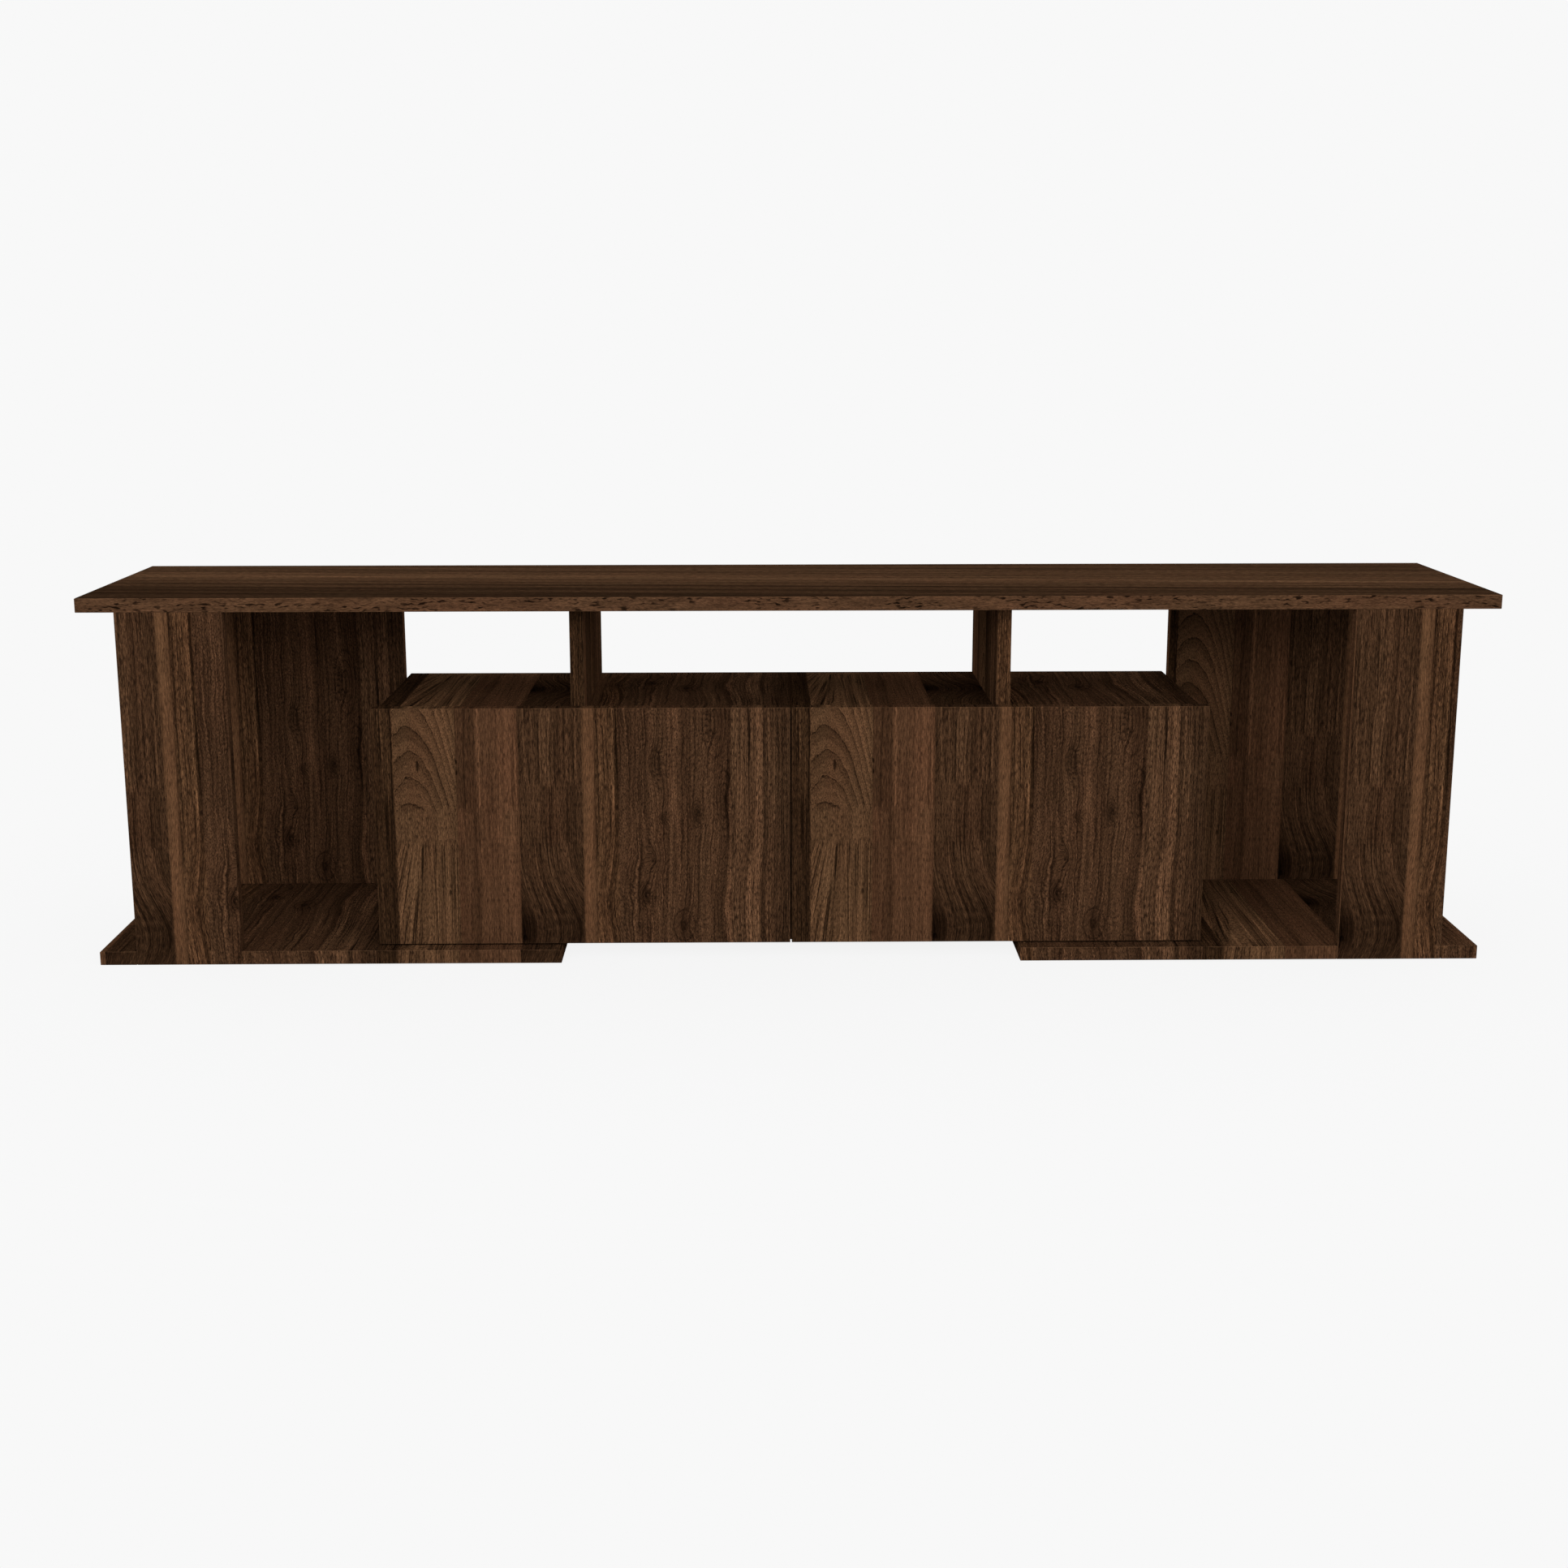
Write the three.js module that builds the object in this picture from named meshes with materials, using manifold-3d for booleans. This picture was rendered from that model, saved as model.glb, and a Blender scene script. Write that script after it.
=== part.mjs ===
// Low TV unit in dark walnut laminate board. Millimetres, +X to the right, +Y to the back, +Z up.
// The origin is on the floor, in the middle of the unit's length and depth.
import * as THREE from "three";
import { mergeVertices } from "three/addons/utils/BufferGeometryUtils.js";
import Module from "manifold-3d";

const wasm = await Module();
wasm.setup();

// Driving dimensions of the whole unit
const unitLength = 1800;
const unitDepth = 354;
const unitHeight = 480;
const boardThickness = 18;
const edgeArris = 0.5;

// Base boards, column panels, rear panels and posts
const baseGapWidth = 600;
const columnWidth = 136;
const columnInset = 48;
const notchClearance = 0.3;
const rearPanelGap = 6;
const postCentreX = 275;

// Cabinet and doors
const cabinetWidth = 1080;
const cabinetHeight = 307;
const backPanelThickness = 3;
const backRebateWidth = 9;
const backPanelClearance = 0.3;
const doorRecess = 22;
const doorToCarcass = 2;
const doorProud = 9;
const doorFloorGap = 2;
const doorMeetingGap = 2;

// Single-pivot cup hinge
const hingeFromDoorEnd = 70;
const hingeSheet = 0.8;
const knuckleRadius = 1.55;
const knuckleBore = 1.1;
const hingePinRadius = 0.8;
const knuckleStandOff = 0.2;
const middleKnuckleHeight = 12;
const outerKnuckleHeight = 6;
const knuckleGap = 0.4;
const hingePinHead = 0.8;
const cupRadius = 17.5;
const cupDepth = 11;
const cupWall = 1;
const cupFromDoorEdge = 21.5;
const cupClearance = 0.3;
const cupFlangeHeight = 62;
const cupFlangeWidth = 20;
const cupFlangeCornerRadius = 7;
const cupPegSpacing = 48;
const cupPegOffset = 5.5;
const cupPegRadius = 4;
const cupPegLength = 11;
const wingHeight = 44;
const wingLength = 50;
const wingScrewSetback = 37;
const wingScrewSpacing = 32;
const wingCornerRadius = 6;

// Small screws of the hinge wings
const smallScrewRadius = 1.7;
const smallScrewHeadRadius = 3.4;
const smallScrewHeadHeight = 1.4;
const smallScrewLength = 13;
const smallScrewClearance = 0.3;

// Wooden dowels, glued into the end of one board and free in the other
const dowelRadius = 4;
const dowelStandOut = 12;
const dowelInset = 36;
const dowelClearance = 0.3;

// Countersunk screws that come up through the base boards
const baseScrewRadius = 2.5;
const baseScrewHeadRadius = 5;
const baseScrewHeadHeight = 3;
const baseScrewSunk = 0.5;
const baseScrewInset = 60;
const baseScrewClearance = 0.3;
const cabinetScrewLength = 30;
const panelScrewLength = 50;
const crossRecessDepth = 1.6;
const crossRecessWidth = 1.1;

// Cam and bolt that pull each column panel against its base board
const camRadius = 7.5;
const camHeight = 12.3;
const camSunk = 0.5;
const camSetback = 34;
const camClearance = 0.3;
const camMouthRadius = 5.5;
const boltThreadRadius = 2.5;
const boltThreadLength = 11;
const boltShankRadius = 3;
const boltNeckRadius = 2;
const boltHeadRadius = 3.2;
const boltHeadLength = 3;

// Magnetic catches, strike plates and bumpers
const catchHeight = 44;
const catchWidth = 13;
const catchDepth = 14;
const catchSetback = 0.8;
const poleThickness = 2;
const poleHeight = 36;
const poleReach = 1.4;
const poleClearance = 0.3;
const polePitch = 6;
const magnetSetback = 1;
const strikeHeight = 38;
const strikeWidth = 12;
const strikeThickness = 1;
const bumperRadius = 4.5;
const bumperThickness = 1.7;
const bumperFromMeetingEdge = 20;

// Facets and cuts
const finelySided = 24;
const plainlySided = 12;
const cornerSegments = 4;
const cutOverrun = 2;
const weldTolerance = 0.0001;

// Planes worked out from the sizes above
const front = -unitDepth / 2;
const rear = unitDepth / 2;
const halfLength = unitLength / 2;
const undersideOfTop = unitHeight - boardThickness;
const columnOuter = halfLength - columnInset;
const columnInner = columnOuter - columnWidth;
const baseInner = baseGapWidth / 2;
const cabinetOuter = cabinetWidth / 2;
const cabinetInner = cabinetOuter - boardThickness;
const cabinetFloor = boardThickness;
const cabinetTopLevel = cabinetFloor + cabinetHeight;
const rearPanelInner = cabinetOuter + rearPanelGap;
const doorFace = front + doorRecess;
const doorBack = doorFace + boardThickness;
const carcassFront = doorBack + doorToCarcass;
const doorBottom = boardThickness + doorFloorGap;
const doorTop = cabinetTopLevel + doorProud;
const doorMeetingEdge = doorMeetingGap / 2;
const rebateDepth = backPanelThickness + backPanelClearance;
const pivotX = cabinetOuter + knuckleStandOff + knuckleRadius;
const pivotY = (doorBack + carcassFront) / 2;
const hingeLevels = [doorBottom + hingeFromDoorEnd, doorTop - hingeFromDoorEnd];

// Finishes
const walnut = new THREE.MeshStandardMaterial({ color: 0x3f2a1e, roughness: 0.55, metalness: 0 });
const walnutDark = new THREE.MeshStandardMaterial({ color: 0x33221a, roughness: 0.6, metalness: 0 });
const hardboard = new THREE.MeshStandardMaterial({ color: 0x4a3526, roughness: 0.8, metalness: 0 });
const nickel = new THREE.MeshStandardMaterial({ color: 0xb8b8b4, roughness: 0.3, metalness: 0.9 });
const zincSteel = new THREE.MeshStandardMaterial({ color: 0x9c9a92, roughness: 0.4, metalness: 0.85 });
const brownPlastic = new THREE.MeshStandardMaterial({ color: 0x3a2d26, roughness: 0.6, metalness: 0 });
const clearRubber = new THREE.MeshStandardMaterial({ color: 0x8d8a84, roughness: 0.7, metalness: 0 });

// A closed three.js geometry as a solid that can be joined and cut.
function solidFrom(geometry) {
  const bare = geometry.index ? geometry.toNonIndexed() : geometry.clone();
  bare.deleteAttribute("normal");
  bare.deleteAttribute("uv");
  const merged = mergeVertices(bare, weldTolerance);
  const mesh = new wasm.Mesh({
    numProp: 3,
    vertProperties: merged.attributes.position.array,
    triVerts: new Uint32Array(merged.index.array),
  });
  return new wasm.Manifold(mesh);
}

// The solid's surface. side -1 gives the piece mirrored to the left half of the unit.
function geometryFrom(solid, side = 1) {
  const { vertProperties, triVerts } = solid.getMesh();
  const positions = new Float32Array(vertProperties);
  const triangles = new Uint32Array(triVerts);
  if (side < 0) {
    for (let i = 0; i < positions.length; i += 3) positions[i] = -positions[i];
    for (let i = 0; i < triangles.length; i += 3) {
      [triangles[i + 1], triangles[i + 2]] = [triangles[i + 2], triangles[i + 1]];
    }
  }
  const indexed = new THREE.BufferGeometry();
  indexed.setAttribute("position", new THREE.BufferAttribute(positions, 3));
  indexed.setIndex(new THREE.BufferAttribute(triangles, 1));
  const faceted = indexed.toNonIndexed();
  faceted.computeVertexNormals();
  return faceted;
}

function join(solids) {
  return solids.reduce((whole, next) => whole.add(next));
}

function cut(solid, tools) {
  return tools.reduce((rest, tool) => rest.subtract(tool), solid);
}

// A plain block between two values on each axis.
function block(x, y, z) {
  const geometry = new THREE.BoxGeometry(x[1] - x[0], y[1] - y[0], z[1] - z[0]);
  geometry.translate((x[0] + x[1]) / 2, (y[0] + y[1]) / 2, (z[0] + z[1]) / 2);
  return solidFrom(geometry);
}

// Turns an extrusion along its own Z so that it runs along the named axis instead. Each turn is a
// cyclic swap of the axes, so nothing is mirrored: the outline's x and y become the two axes after it.
function alongAxis(geometry, axis) {
  const turns = {
    x: new THREE.Matrix4().makeBasis(
      new THREE.Vector3(0, 1, 0), new THREE.Vector3(0, 0, 1), new THREE.Vector3(1, 0, 0)),
    y: new THREE.Matrix4().makeBasis(
      new THREE.Vector3(0, 0, 1), new THREE.Vector3(1, 0, 0), new THREE.Vector3(0, 1, 0)),
    z: new THREE.Matrix4(),
  };
  return geometry.applyMatrix4(turns[axis]);
}

// An outline extruded from one level to another along an axis, with its arrises broken if asked.
function extruded(shape, axis, from, to, arris = 0) {
  const geometry = new THREE.ExtrudeGeometry(shape, {
    depth: to - from - 2 * arris,
    bevelEnabled: arris > 0,
    bevelThickness: arris,
    bevelSize: arris,
    bevelOffset: -arris,
    bevelSegments: 1,
    curveSegments: cornerSegments,
  });
  geometry.translate(0, 0, from + arris);
  return solidFrom(alongAxis(geometry, axis));
}

function rectangle(a, b) {
  return new THREE.Shape([
    new THREE.Vector2(a[0], b[0]),
    new THREE.Vector2(a[1], b[0]),
    new THREE.Vector2(a[1], b[1]),
    new THREE.Vector2(a[0], b[1]),
  ]);
}

function roundedRectangle(a, b, radius) {
  const shape = new THREE.Shape();
  shape.moveTo(a[0] + radius, b[0]);
  shape.lineTo(a[1] - radius, b[0]);
  shape.absarc(a[1] - radius, b[0] + radius, radius, -Math.PI / 2, 0, false);
  shape.lineTo(a[1], b[1] - radius);
  shape.absarc(a[1] - radius, b[1] - radius, radius, 0, Math.PI / 2, false);
  shape.lineTo(a[0] + radius, b[1]);
  shape.absarc(a[0] + radius, b[1] - radius, radius, Math.PI / 2, Math.PI, false);
  shape.lineTo(a[0], b[0] + radius);
  shape.absarc(a[0] + radius, b[0] + radius, radius, Math.PI, Math.PI * 1.5, false);
  return shape;
}

// Laminated boards: lying flat, facing the front, or standing on edge from front to back.
function flatBoard(x, y, z) {
  return extruded(rectangle(x, y), "z", z[0], z[1], edgeArris);
}

function facingBoard(x, y, z) {
  return extruded(rectangle(z, x), "y", y[0], y[1], edgeArris);
}

function standingBoard(x, y, z) {
  return extruded(rectangle(y, z), "x", x[0], x[1], edgeArris);
}

// A round bar or hole along an axis. centre holds the other two coordinates in x, y, z order.
function rod(axis, centre, radius, from, to, sides = plainlySided) {
  const geometry = new THREE.CylinderGeometry(radius, radius, to - from, sides);
  const middle = (from + to) / 2;
  if (axis === "x") geometry.rotateZ(Math.PI / 2).translate(middle, centre[0], centre[1]);
  if (axis === "y") geometry.translate(centre[0], middle, centre[1]);
  if (axis === "z") geometry.rotateX(Math.PI / 2).translate(centre[0], centre[1], middle);
  return solidFrom(geometry);
}

// A round taper along Z between two radii.
function taper(centre, lowRadius, highRadius, low, high) {
  const geometry = new THREE.CylinderGeometry(highRadius, lowRadius, high - low, plainlySided);
  geometry.rotateX(Math.PI / 2).translate(centre[0], centre[1], (low + high) / 2);
  return solidFrom(geometry);
}

// Dowels stand out of a board's end in a row. direction is 1 where they point along the axis and -1
// where they point against it.
function dowels(axis, places, level, direction) {
  return places.map((place) => {
    const ends = [level - direction * dowelStandOut, level + direction * dowelStandOut];
    return rod(axis, place, dowelRadius, Math.min(...ends), Math.max(...ends));
  });
}

function dowelHoles(axis, places, level, direction) {
  return places.map((place) => {
    const ends = [level - direction * cutOverrun, level + direction * (dowelStandOut + dowelClearance)];
    return rod(axis, place, dowelRadius + dowelClearance, Math.min(...ends), Math.max(...ends));
  });
}

// A cross-shaped recess for a driver, cut upwards into a head that faces down.
function crossRecess(place, level, reach) {
  const half = crossRecessWidth / 2;
  const z = [level - cutOverrun, level + crossRecessDepth];
  return join([
    block([place[0] - reach, place[0] + reach], [place[1] - half, place[1] + half], z),
    block([place[0] - half, place[0] + half], [place[1] - reach, place[1] + reach], z),
  ]);
}

const unit = new THREE.Group();
const cabinet = new THREE.Group();
unit.add(cabinet);

function addMesh(group, name, solid, material, side = 1) {
  const mesh = new THREE.Mesh(geometryFrom(solid, side), material);
  mesh.name = name;
  group.add(mesh);
  return mesh;
}

// Where the dowels stand. Each row lies in the middle of the board that carries it.
const columnMiddleY = front + boardThickness / 2;
const rearPanelMiddleY = rear - boardThickness / 2;
const sideMiddleX = cabinetOuter - boardThickness / 2;
const standingRow = [carcassFront + dowelInset, rear - dowelInset];
const columnDowels = [columnInner + dowelInset, columnOuter - dowelInset].map((x) => [x, columnMiddleY]);
const rearPanelDowels = [rearPanelInner + dowelInset, columnOuter - dowelInset].map(
  (x) => [x, rearPanelMiddleY]);
const postDowels = standingRow.map((y) => [postCentreX, y]);
const sideDowels = standingRow.map((y) => [sideMiddleX, y]);
const dividerDowels = standingRow.map((y) => [0, y]);
const footDowels = [columnInner + dowelInset, columnOuter - dowelInset].map((x) => [x, boardThickness / 2]);

function mirrored(places) {
  return places.map(([x, y]) => [-x, y]);
}

// Top board: drilled from below for the dowels of all that carries it.
function topBoard() {
  const whole = flatBoard([-halfLength, halfLength], [front, rear], [undersideOfTop, unitHeight]);
  const carried = [...columnDowels, ...rearPanelDowels, ...postDowels];
  return cut(whole, dowelHoles("z", [...carried, ...mirrored(carried)], undersideOfTop, 1));
}

// Fastenings of the base boards
const columnBack = front + boardThickness;
const cabinetScrewPlaces = [carcassFront + baseScrewInset, rear - baseScrewInset].map(
  (y) => [baseInner + baseScrewInset, y]);
const panelScrewPlaces = [rearPanelInner + baseScrewInset, columnOuter - baseScrewInset].map(
  (x) => [x, rearPanelMiddleY]);
const camPlace = [(columnInner + columnOuter) / 2, columnBack + camSetback];
const boltPlace = [camPlace[0], boardThickness / 2];

// A countersunk screw that points up, sunk a little below the base board's underside.
function baseScrew(place, length) {
  const neck = baseScrewSunk + baseScrewHeadHeight;
  const head = taper(place, baseScrewHeadRadius, baseScrewRadius, baseScrewSunk, neck);
  const shank = rod("z", place, baseScrewRadius, baseScrewSunk, baseScrewSunk + length);
  return cut(join([head, shank]), [crossRecess(place, baseScrewSunk, baseScrewRadius)]);
}

// Its hole: a countersink and a clear shank, as long as the screw goes.
function baseScrewHole(place, length) {
  const neck = baseScrewSunk + baseScrewHeadHeight;
  const sink = taper(
    place, baseScrewHeadRadius + baseScrewClearance, baseScrewRadius + baseScrewClearance, baseScrewSunk,
    neck + baseScrewClearance);
  const mouth = rod("z", place, baseScrewHeadRadius + baseScrewClearance, -cutOverrun, baseScrewSunk);
  const shank = rod(
    "z", place, baseScrewRadius + baseScrewClearance, -cutOverrun,
    baseScrewSunk + length + baseScrewClearance);
  return join([sink, mouth, shank]);
}

// The cam lies in the base board's underside. Its upper half is open towards the column for the bolt's
// head, which it grips as it is turned by the cross in its face.
function cam() {
  const [x, y] = camPlace;
  const top = camSunk + camHeight;
  const whole = rod("z", camPlace, camRadius, camSunk, top, finelySided);
  const mouthFloor = boardThickness / 2 - boltHeadRadius - camClearance;
  const grip = boltNeckRadius + camClearance;
  const hollow = rod("z", camPlace, camMouthRadius, mouthFloor, top + cutOverrun);
  const mouth = block([x - grip, x + grip], [y - camRadius - cutOverrun, y], [mouthFloor, top + cutOverrun]);
  return cut(whole, [hollow, mouth, crossRecess(camPlace, camSunk, camMouthRadius)]);
}

// The bolt is screwed into the column panel's back and ends in a head inside the cam.
function columnBolt() {
  const headFront = camPlace[1] - boltHeadRadius;
  const shankEnd = camPlace[1] - camRadius - camClearance;
  return join([
    rod("y", boltPlace, boltThreadRadius, columnBack - boltThreadLength, columnBack),
    rod("y", boltPlace, boltShankRadius, columnBack, shankEnd),
    rod("y", boltPlace, boltNeckRadius, columnBack, headFront + boltHeadLength),
    rod("y", boltPlace, boltHeadRadius, headFront, headFront + boltHeadLength),
  ]);
}

function camHoles() {
  const drill = rod(
    "z", camPlace, camRadius + camClearance, -cutOverrun, camSunk + camHeight + camClearance, finelySided);
  const boltWay = rod(
    "y", boltPlace, boltShankRadius + camClearance, columnBack - cutOverrun, camPlace[1]);
  return [drill, boltWay];
}

// Base board: its front edge is notched so that the column panel runs down to the floor, and two dowels
// in the notch point forward into the panel.
function baseBoard() {
  const notchDepth = boardThickness;
  const outline = new THREE.Shape([
    new THREE.Vector2(baseInner, front),
    new THREE.Vector2(columnInner - notchClearance, front),
    new THREE.Vector2(columnInner - notchClearance, front + notchDepth),
    new THREE.Vector2(columnOuter + notchClearance, front + notchDepth),
    new THREE.Vector2(columnOuter + notchClearance, front),
    new THREE.Vector2(halfLength, front),
    new THREE.Vector2(halfLength, rear),
    new THREE.Vector2(baseInner, rear),
  ]);
  const whole = extruded(outline, "z", 0, boardThickness, edgeArris);
  const screwHoles = [
    ...cabinetScrewPlaces.map((place) => baseScrewHole(place, cabinetScrewLength)),
    ...panelScrewPlaces.map((place) => baseScrewHole(place, panelScrewLength)),
  ];
  return join([cut(whole, [...screwHoles, ...camHoles()]), ...dowels("y", footDowels, columnBack, -1)]);
}

function columnPanel() {
  const whole = facingBoard([columnInner, columnOuter], [front, columnBack], [0, undersideOfTop]);
  const boltHole = rod(
    "y", boltPlace, boltThreadRadius + camClearance, columnBack - boltThreadLength - camClearance,
    columnBack + cutOverrun);
  const drilled = cut(whole, [boltHole, ...dowelHoles("y", footDowels, columnBack, -1)]);
  return join([drilled, ...dowels("z", columnDowels, undersideOfTop, 1)]);
}

function rearPanel() {
  const whole = facingBoard(
    [rearPanelInner, columnOuter], [rear - boardThickness, rear], [boardThickness, undersideOfTop]);
  const screwHoles = panelScrewPlaces.map((place) => baseScrewHole(place, panelScrewLength));
  return join([cut(whole, screwHoles), ...dowels("z", rearPanelDowels, undersideOfTop, 1)]);
}

function post() {
  const half = boardThickness / 2;
  const whole = standingBoard(
    [postCentreX - half, postCentreX + half], [carcassFront, rear], [cabinetTopLevel, undersideOfTop]);
  return join([
    whole, ...dowels("z", postDowels, undersideOfTop, 1), ...dowels("z", postDowels, cabinetTopLevel, -1),
  ]);
}

// Cabinet carcass: top and bottom run the full width, and the sides and the divider stand between them.
// The rear inner edges are rebated for the thin back panel.
const sideBottom = cabinetFloor + boardThickness;
const sideTop = cabinetTopLevel - boardThickness;

function rebateCutter() {
  const halfWidth = cabinetOuter - backRebateWidth;
  return block(
    [-halfWidth, halfWidth], [rear - rebateDepth, rear + cutOverrun],
    [cabinetFloor + backRebateWidth, cabinetTopLevel - backRebateWidth]);
}

function cabinetTop() {
  const whole = flatBoard(
    [-cabinetOuter, cabinetOuter], [carcassFront, rear], [sideTop, cabinetTopLevel]);
  const fromBelow = [...sideDowels, ...mirrored(sideDowels), ...dividerDowels];
  const fromAbove = [...postDowels, ...mirrored(postDowels)];
  return cut(whole, [
    rebateCutter(), ...dowelHoles("z", fromBelow, sideTop, 1),
    ...dowelHoles("z", fromAbove, cabinetTopLevel, -1),
  ]);
}

function cabinetBottom() {
  const whole = flatBoard(
    [-cabinetOuter, cabinetOuter], [carcassFront, rear], [cabinetFloor, sideBottom]);
  const fromAbove = [...sideDowels, ...mirrored(sideDowels), ...dividerDowels];
  const screws = [...cabinetScrewPlaces, ...mirrored(cabinetScrewPlaces)];
  return cut(whole, [
    rebateCutter(), ...dowelHoles("z", fromAbove, sideBottom, -1),
    ...screws.map((place) => baseScrewHole(place, cabinetScrewLength)),
  ]);
}

function cabinetSide() {
  const whole = standingBoard([cabinetInner, cabinetOuter], [carcassFront, rear], [sideBottom, sideTop]);
  const drilled = cut(whole, [rebateCutter(), ...wingScrewHoles()]);
  return join([
    drilled, ...dowels("z", sideDowels, sideTop, 1), ...dowels("z", sideDowels, sideBottom, -1)]);
}

function cabinetDivider() {
  const half = boardThickness / 2;
  const whole = standingBoard([-half, half], [carcassFront, rear - rebateDepth], [sideBottom, sideTop]);
  return join([
    whole, ...dowels("z", dividerDowels, sideTop, 1), ...dowels("z", dividerDowels, sideBottom, -1)]);
}

function cabinetBack() {
  const halfWidth = cabinetOuter - backRebateWidth - backPanelClearance;
  return block(
    [-halfWidth, halfWidth], [rear - backPanelThickness, rear],
    [cabinetFloor + backRebateWidth + backPanelClearance, cabinetTopLevel - backRebateWidth - backPanelClearance]);
}

// Hinges. Everything below is drawn for the right-hand door and mirrored for the left-hand one.
const cupCentreX = cabinetOuter - cupFromDoorEdge;
const cupPegX = cupCentreX - cupPegOffset;

function cupPegPlaces(level) {
  const half = cupPegSpacing / 2;
  return [[cupPegX, level - half], [cupPegX, level + half]];
}

function wingScrewPlaces() {
  const half = wingScrewSpacing / 2;
  const setback = carcassFront + wingScrewSetback;
  return hingeLevels.flatMap((level) => [[setback, level - half], [setback, level + half]]);
}

function wingScrewHoles() {
  const radius = smallScrewRadius + smallScrewClearance;
  const depth = smallScrewLength + smallScrewClearance;
  return wingScrewPlaces().map((place) =>
    rod("x", place, radius, cabinetInner - cutOverrun, cabinetInner + depth));
}

// Door: drilled from behind for the two hinge cups and the pegs on their flanges.
function door() {
  const whole = facingBoard([doorMeetingEdge, cabinetOuter], [doorFace, doorBack], [doorBottom, doorTop]);
  const cupDrill = cupRadius + cupClearance;
  const cupFloor = doorBack - cupDepth - cupClearance;
  const cups = hingeLevels.map((level) =>
    rod("y", [cupCentreX, level], cupDrill, cupFloor, doorBack + cutOverrun, finelySided));
  const pegDrill = cupPegRadius + cupClearance;
  const pegFloor = doorBack - cupPegLength - cupClearance;
  const pegs = hingeLevels.flatMap(cupPegPlaces).map((place) =>
    rod("y", place, pegDrill, pegFloor, doorBack + cutOverrun));
  return cut(whole, [...cups, ...pegs]);
}

// A knuckle is a short round barrel on the pivot, joined to its leaf by a strip of the same sheet.
const pivot = [pivotX, pivotY];
const knuckleStackReach = middleKnuckleHeight / 2 + knuckleGap + outerKnuckleHeight;

function knuckle(level, from, to) {
  return rod("z", pivot, knuckleRadius, level + from, level + to);
}

function knuckleBoreAt(level) {
  const reach = knuckleStackReach + cutOverrun;
  return rod("z", pivot, knuckleBore, level - reach, level + reach);
}

// Door half of the hinge: a pressed cup whose flange lies on the door's back and has two pegs that are
// pressed into the door, and a tongue that runs out over the door's edge to the middle knuckle.
function doorHalf(level) {
  const halfKnuckle = middleKnuckleHeight / 2;
  const flangeBack = doorBack + hingeSheet;
  const flangeLow = cupPegX - cupFlangeWidth / 2;
  const flange = extruded(
    roundedRectangle(
      [level - cupFlangeHeight / 2, level + cupFlangeHeight / 2],
      [flangeLow, flangeLow + cupFlangeWidth], cupFlangeCornerRadius),
    "y", doorBack, flangeBack);
  const rim = rod("y", [cupCentreX, level], cupRadius + cupWall, doorBack, flangeBack, finelySided);
  const pot = rod("y", [cupCentreX, level], cupRadius, doorBack - cupDepth, flangeBack, finelySided);
  const hollow = rod(
    "y", [cupCentreX, level], cupRadius - cupWall, doorBack - cupDepth + cupWall, flangeBack + cutOverrun,
    finelySided);
  const pegs = cupPegPlaces(level).map((place) =>
    rod("y", place, cupPegRadius, doorBack - cupPegLength, flangeBack));
  const tongue = block(
    [cupCentreX + cupRadius - cupWall, pivotX], [doorBack, flangeBack],
    [level - halfKnuckle, level + halfKnuckle]);
  const leaf = cut(join([flange, rim, pot, ...pegs]), [hollow]);
  return cut(join([leaf, tongue, knuckle(level, -halfKnuckle, halfKnuckle)]), [knuckleBoreAt(level)]);
}

// Carcass half: a wing screwed to the side's inner face, bent across the side's front edge to the two
// outer knuckles.
function carcassHalf(level) {
  const halfWing = wingHeight / 2;
  const near = middleKnuckleHeight / 2 + knuckleGap;
  const far = knuckleStackReach;
  const wing = extruded(
    roundedRectangle(
      [carcassFront - hingeSheet, carcassFront + wingLength], [level - halfWing, level + halfWing],
      wingCornerRadius),
    "x", cabinetInner - hingeSheet, cabinetInner);
  const squareFront = block(
    [cabinetInner - hingeSheet, cabinetInner], [carcassFront - hingeSheet, carcassFront + wingCornerRadius],
    [level - far, level + far]);
  const apron = block(
    [cabinetInner - hingeSheet, cabinetOuter], [carcassFront - hingeSheet, carcassFront],
    [level - far, level + far]);
  const ears = [[-far, -near], [near, far]].flatMap(([low, high]) => [
    block([cabinetOuter, pivotX], [carcassFront - hingeSheet, carcassFront], [level + low, level + high]),
    knuckle(level, low, high),
  ]);
  const screwHoles = wingScrewPlaces().map((place) =>
    rod("x", place, smallScrewRadius + smallScrewClearance, cabinetInner - hingeSheet - cutOverrun,
      cabinetInner + cutOverrun));
  const leaf = cut(join([wing, squareFront, apron, ...ears]), screwHoles);
  return cut(leaf, [knuckleBoreAt(level)]);
}

// The pin runs through all three knuckles and hangs by its head on the top one.
function hingePin(level) {
  const headSeat = level + knuckleStackReach + knuckleStandOff;
  const headTop = headSeat + hingePinHead;
  const shank = rod("z", pivot, hingePinRadius, level - knuckleStackReach, headTop);
  return join([shank, rod("z", pivot, knuckleRadius, headSeat, headTop)]);
}

// A pan-head screw that goes through the wing into the cabinet side.
function wingScrew(place) {
  const seat = cabinetInner - hingeSheet;
  const crown = seat - smallScrewHeadHeight;
  const shank = rod("x", place, smallScrewRadius, crown, cabinetInner + smallScrewLength);
  return join([shank, rod("x", place, smallScrewHeadRadius, crown, seat)]);
}

// Magnetic catch on the divider: a plastic housing that holds a magnet between two steel pole plates,
// which face a steel strike plate on the door.
const catchLevel = (doorBottom + doorTop) / 2;
const catchInner = boardThickness / 2;
const catchMiddle = catchInner + catchWidth / 2;
const catchFront = carcassFront + catchSetback;
const magnetBack = catchFront + catchDepth / 2;

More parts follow.
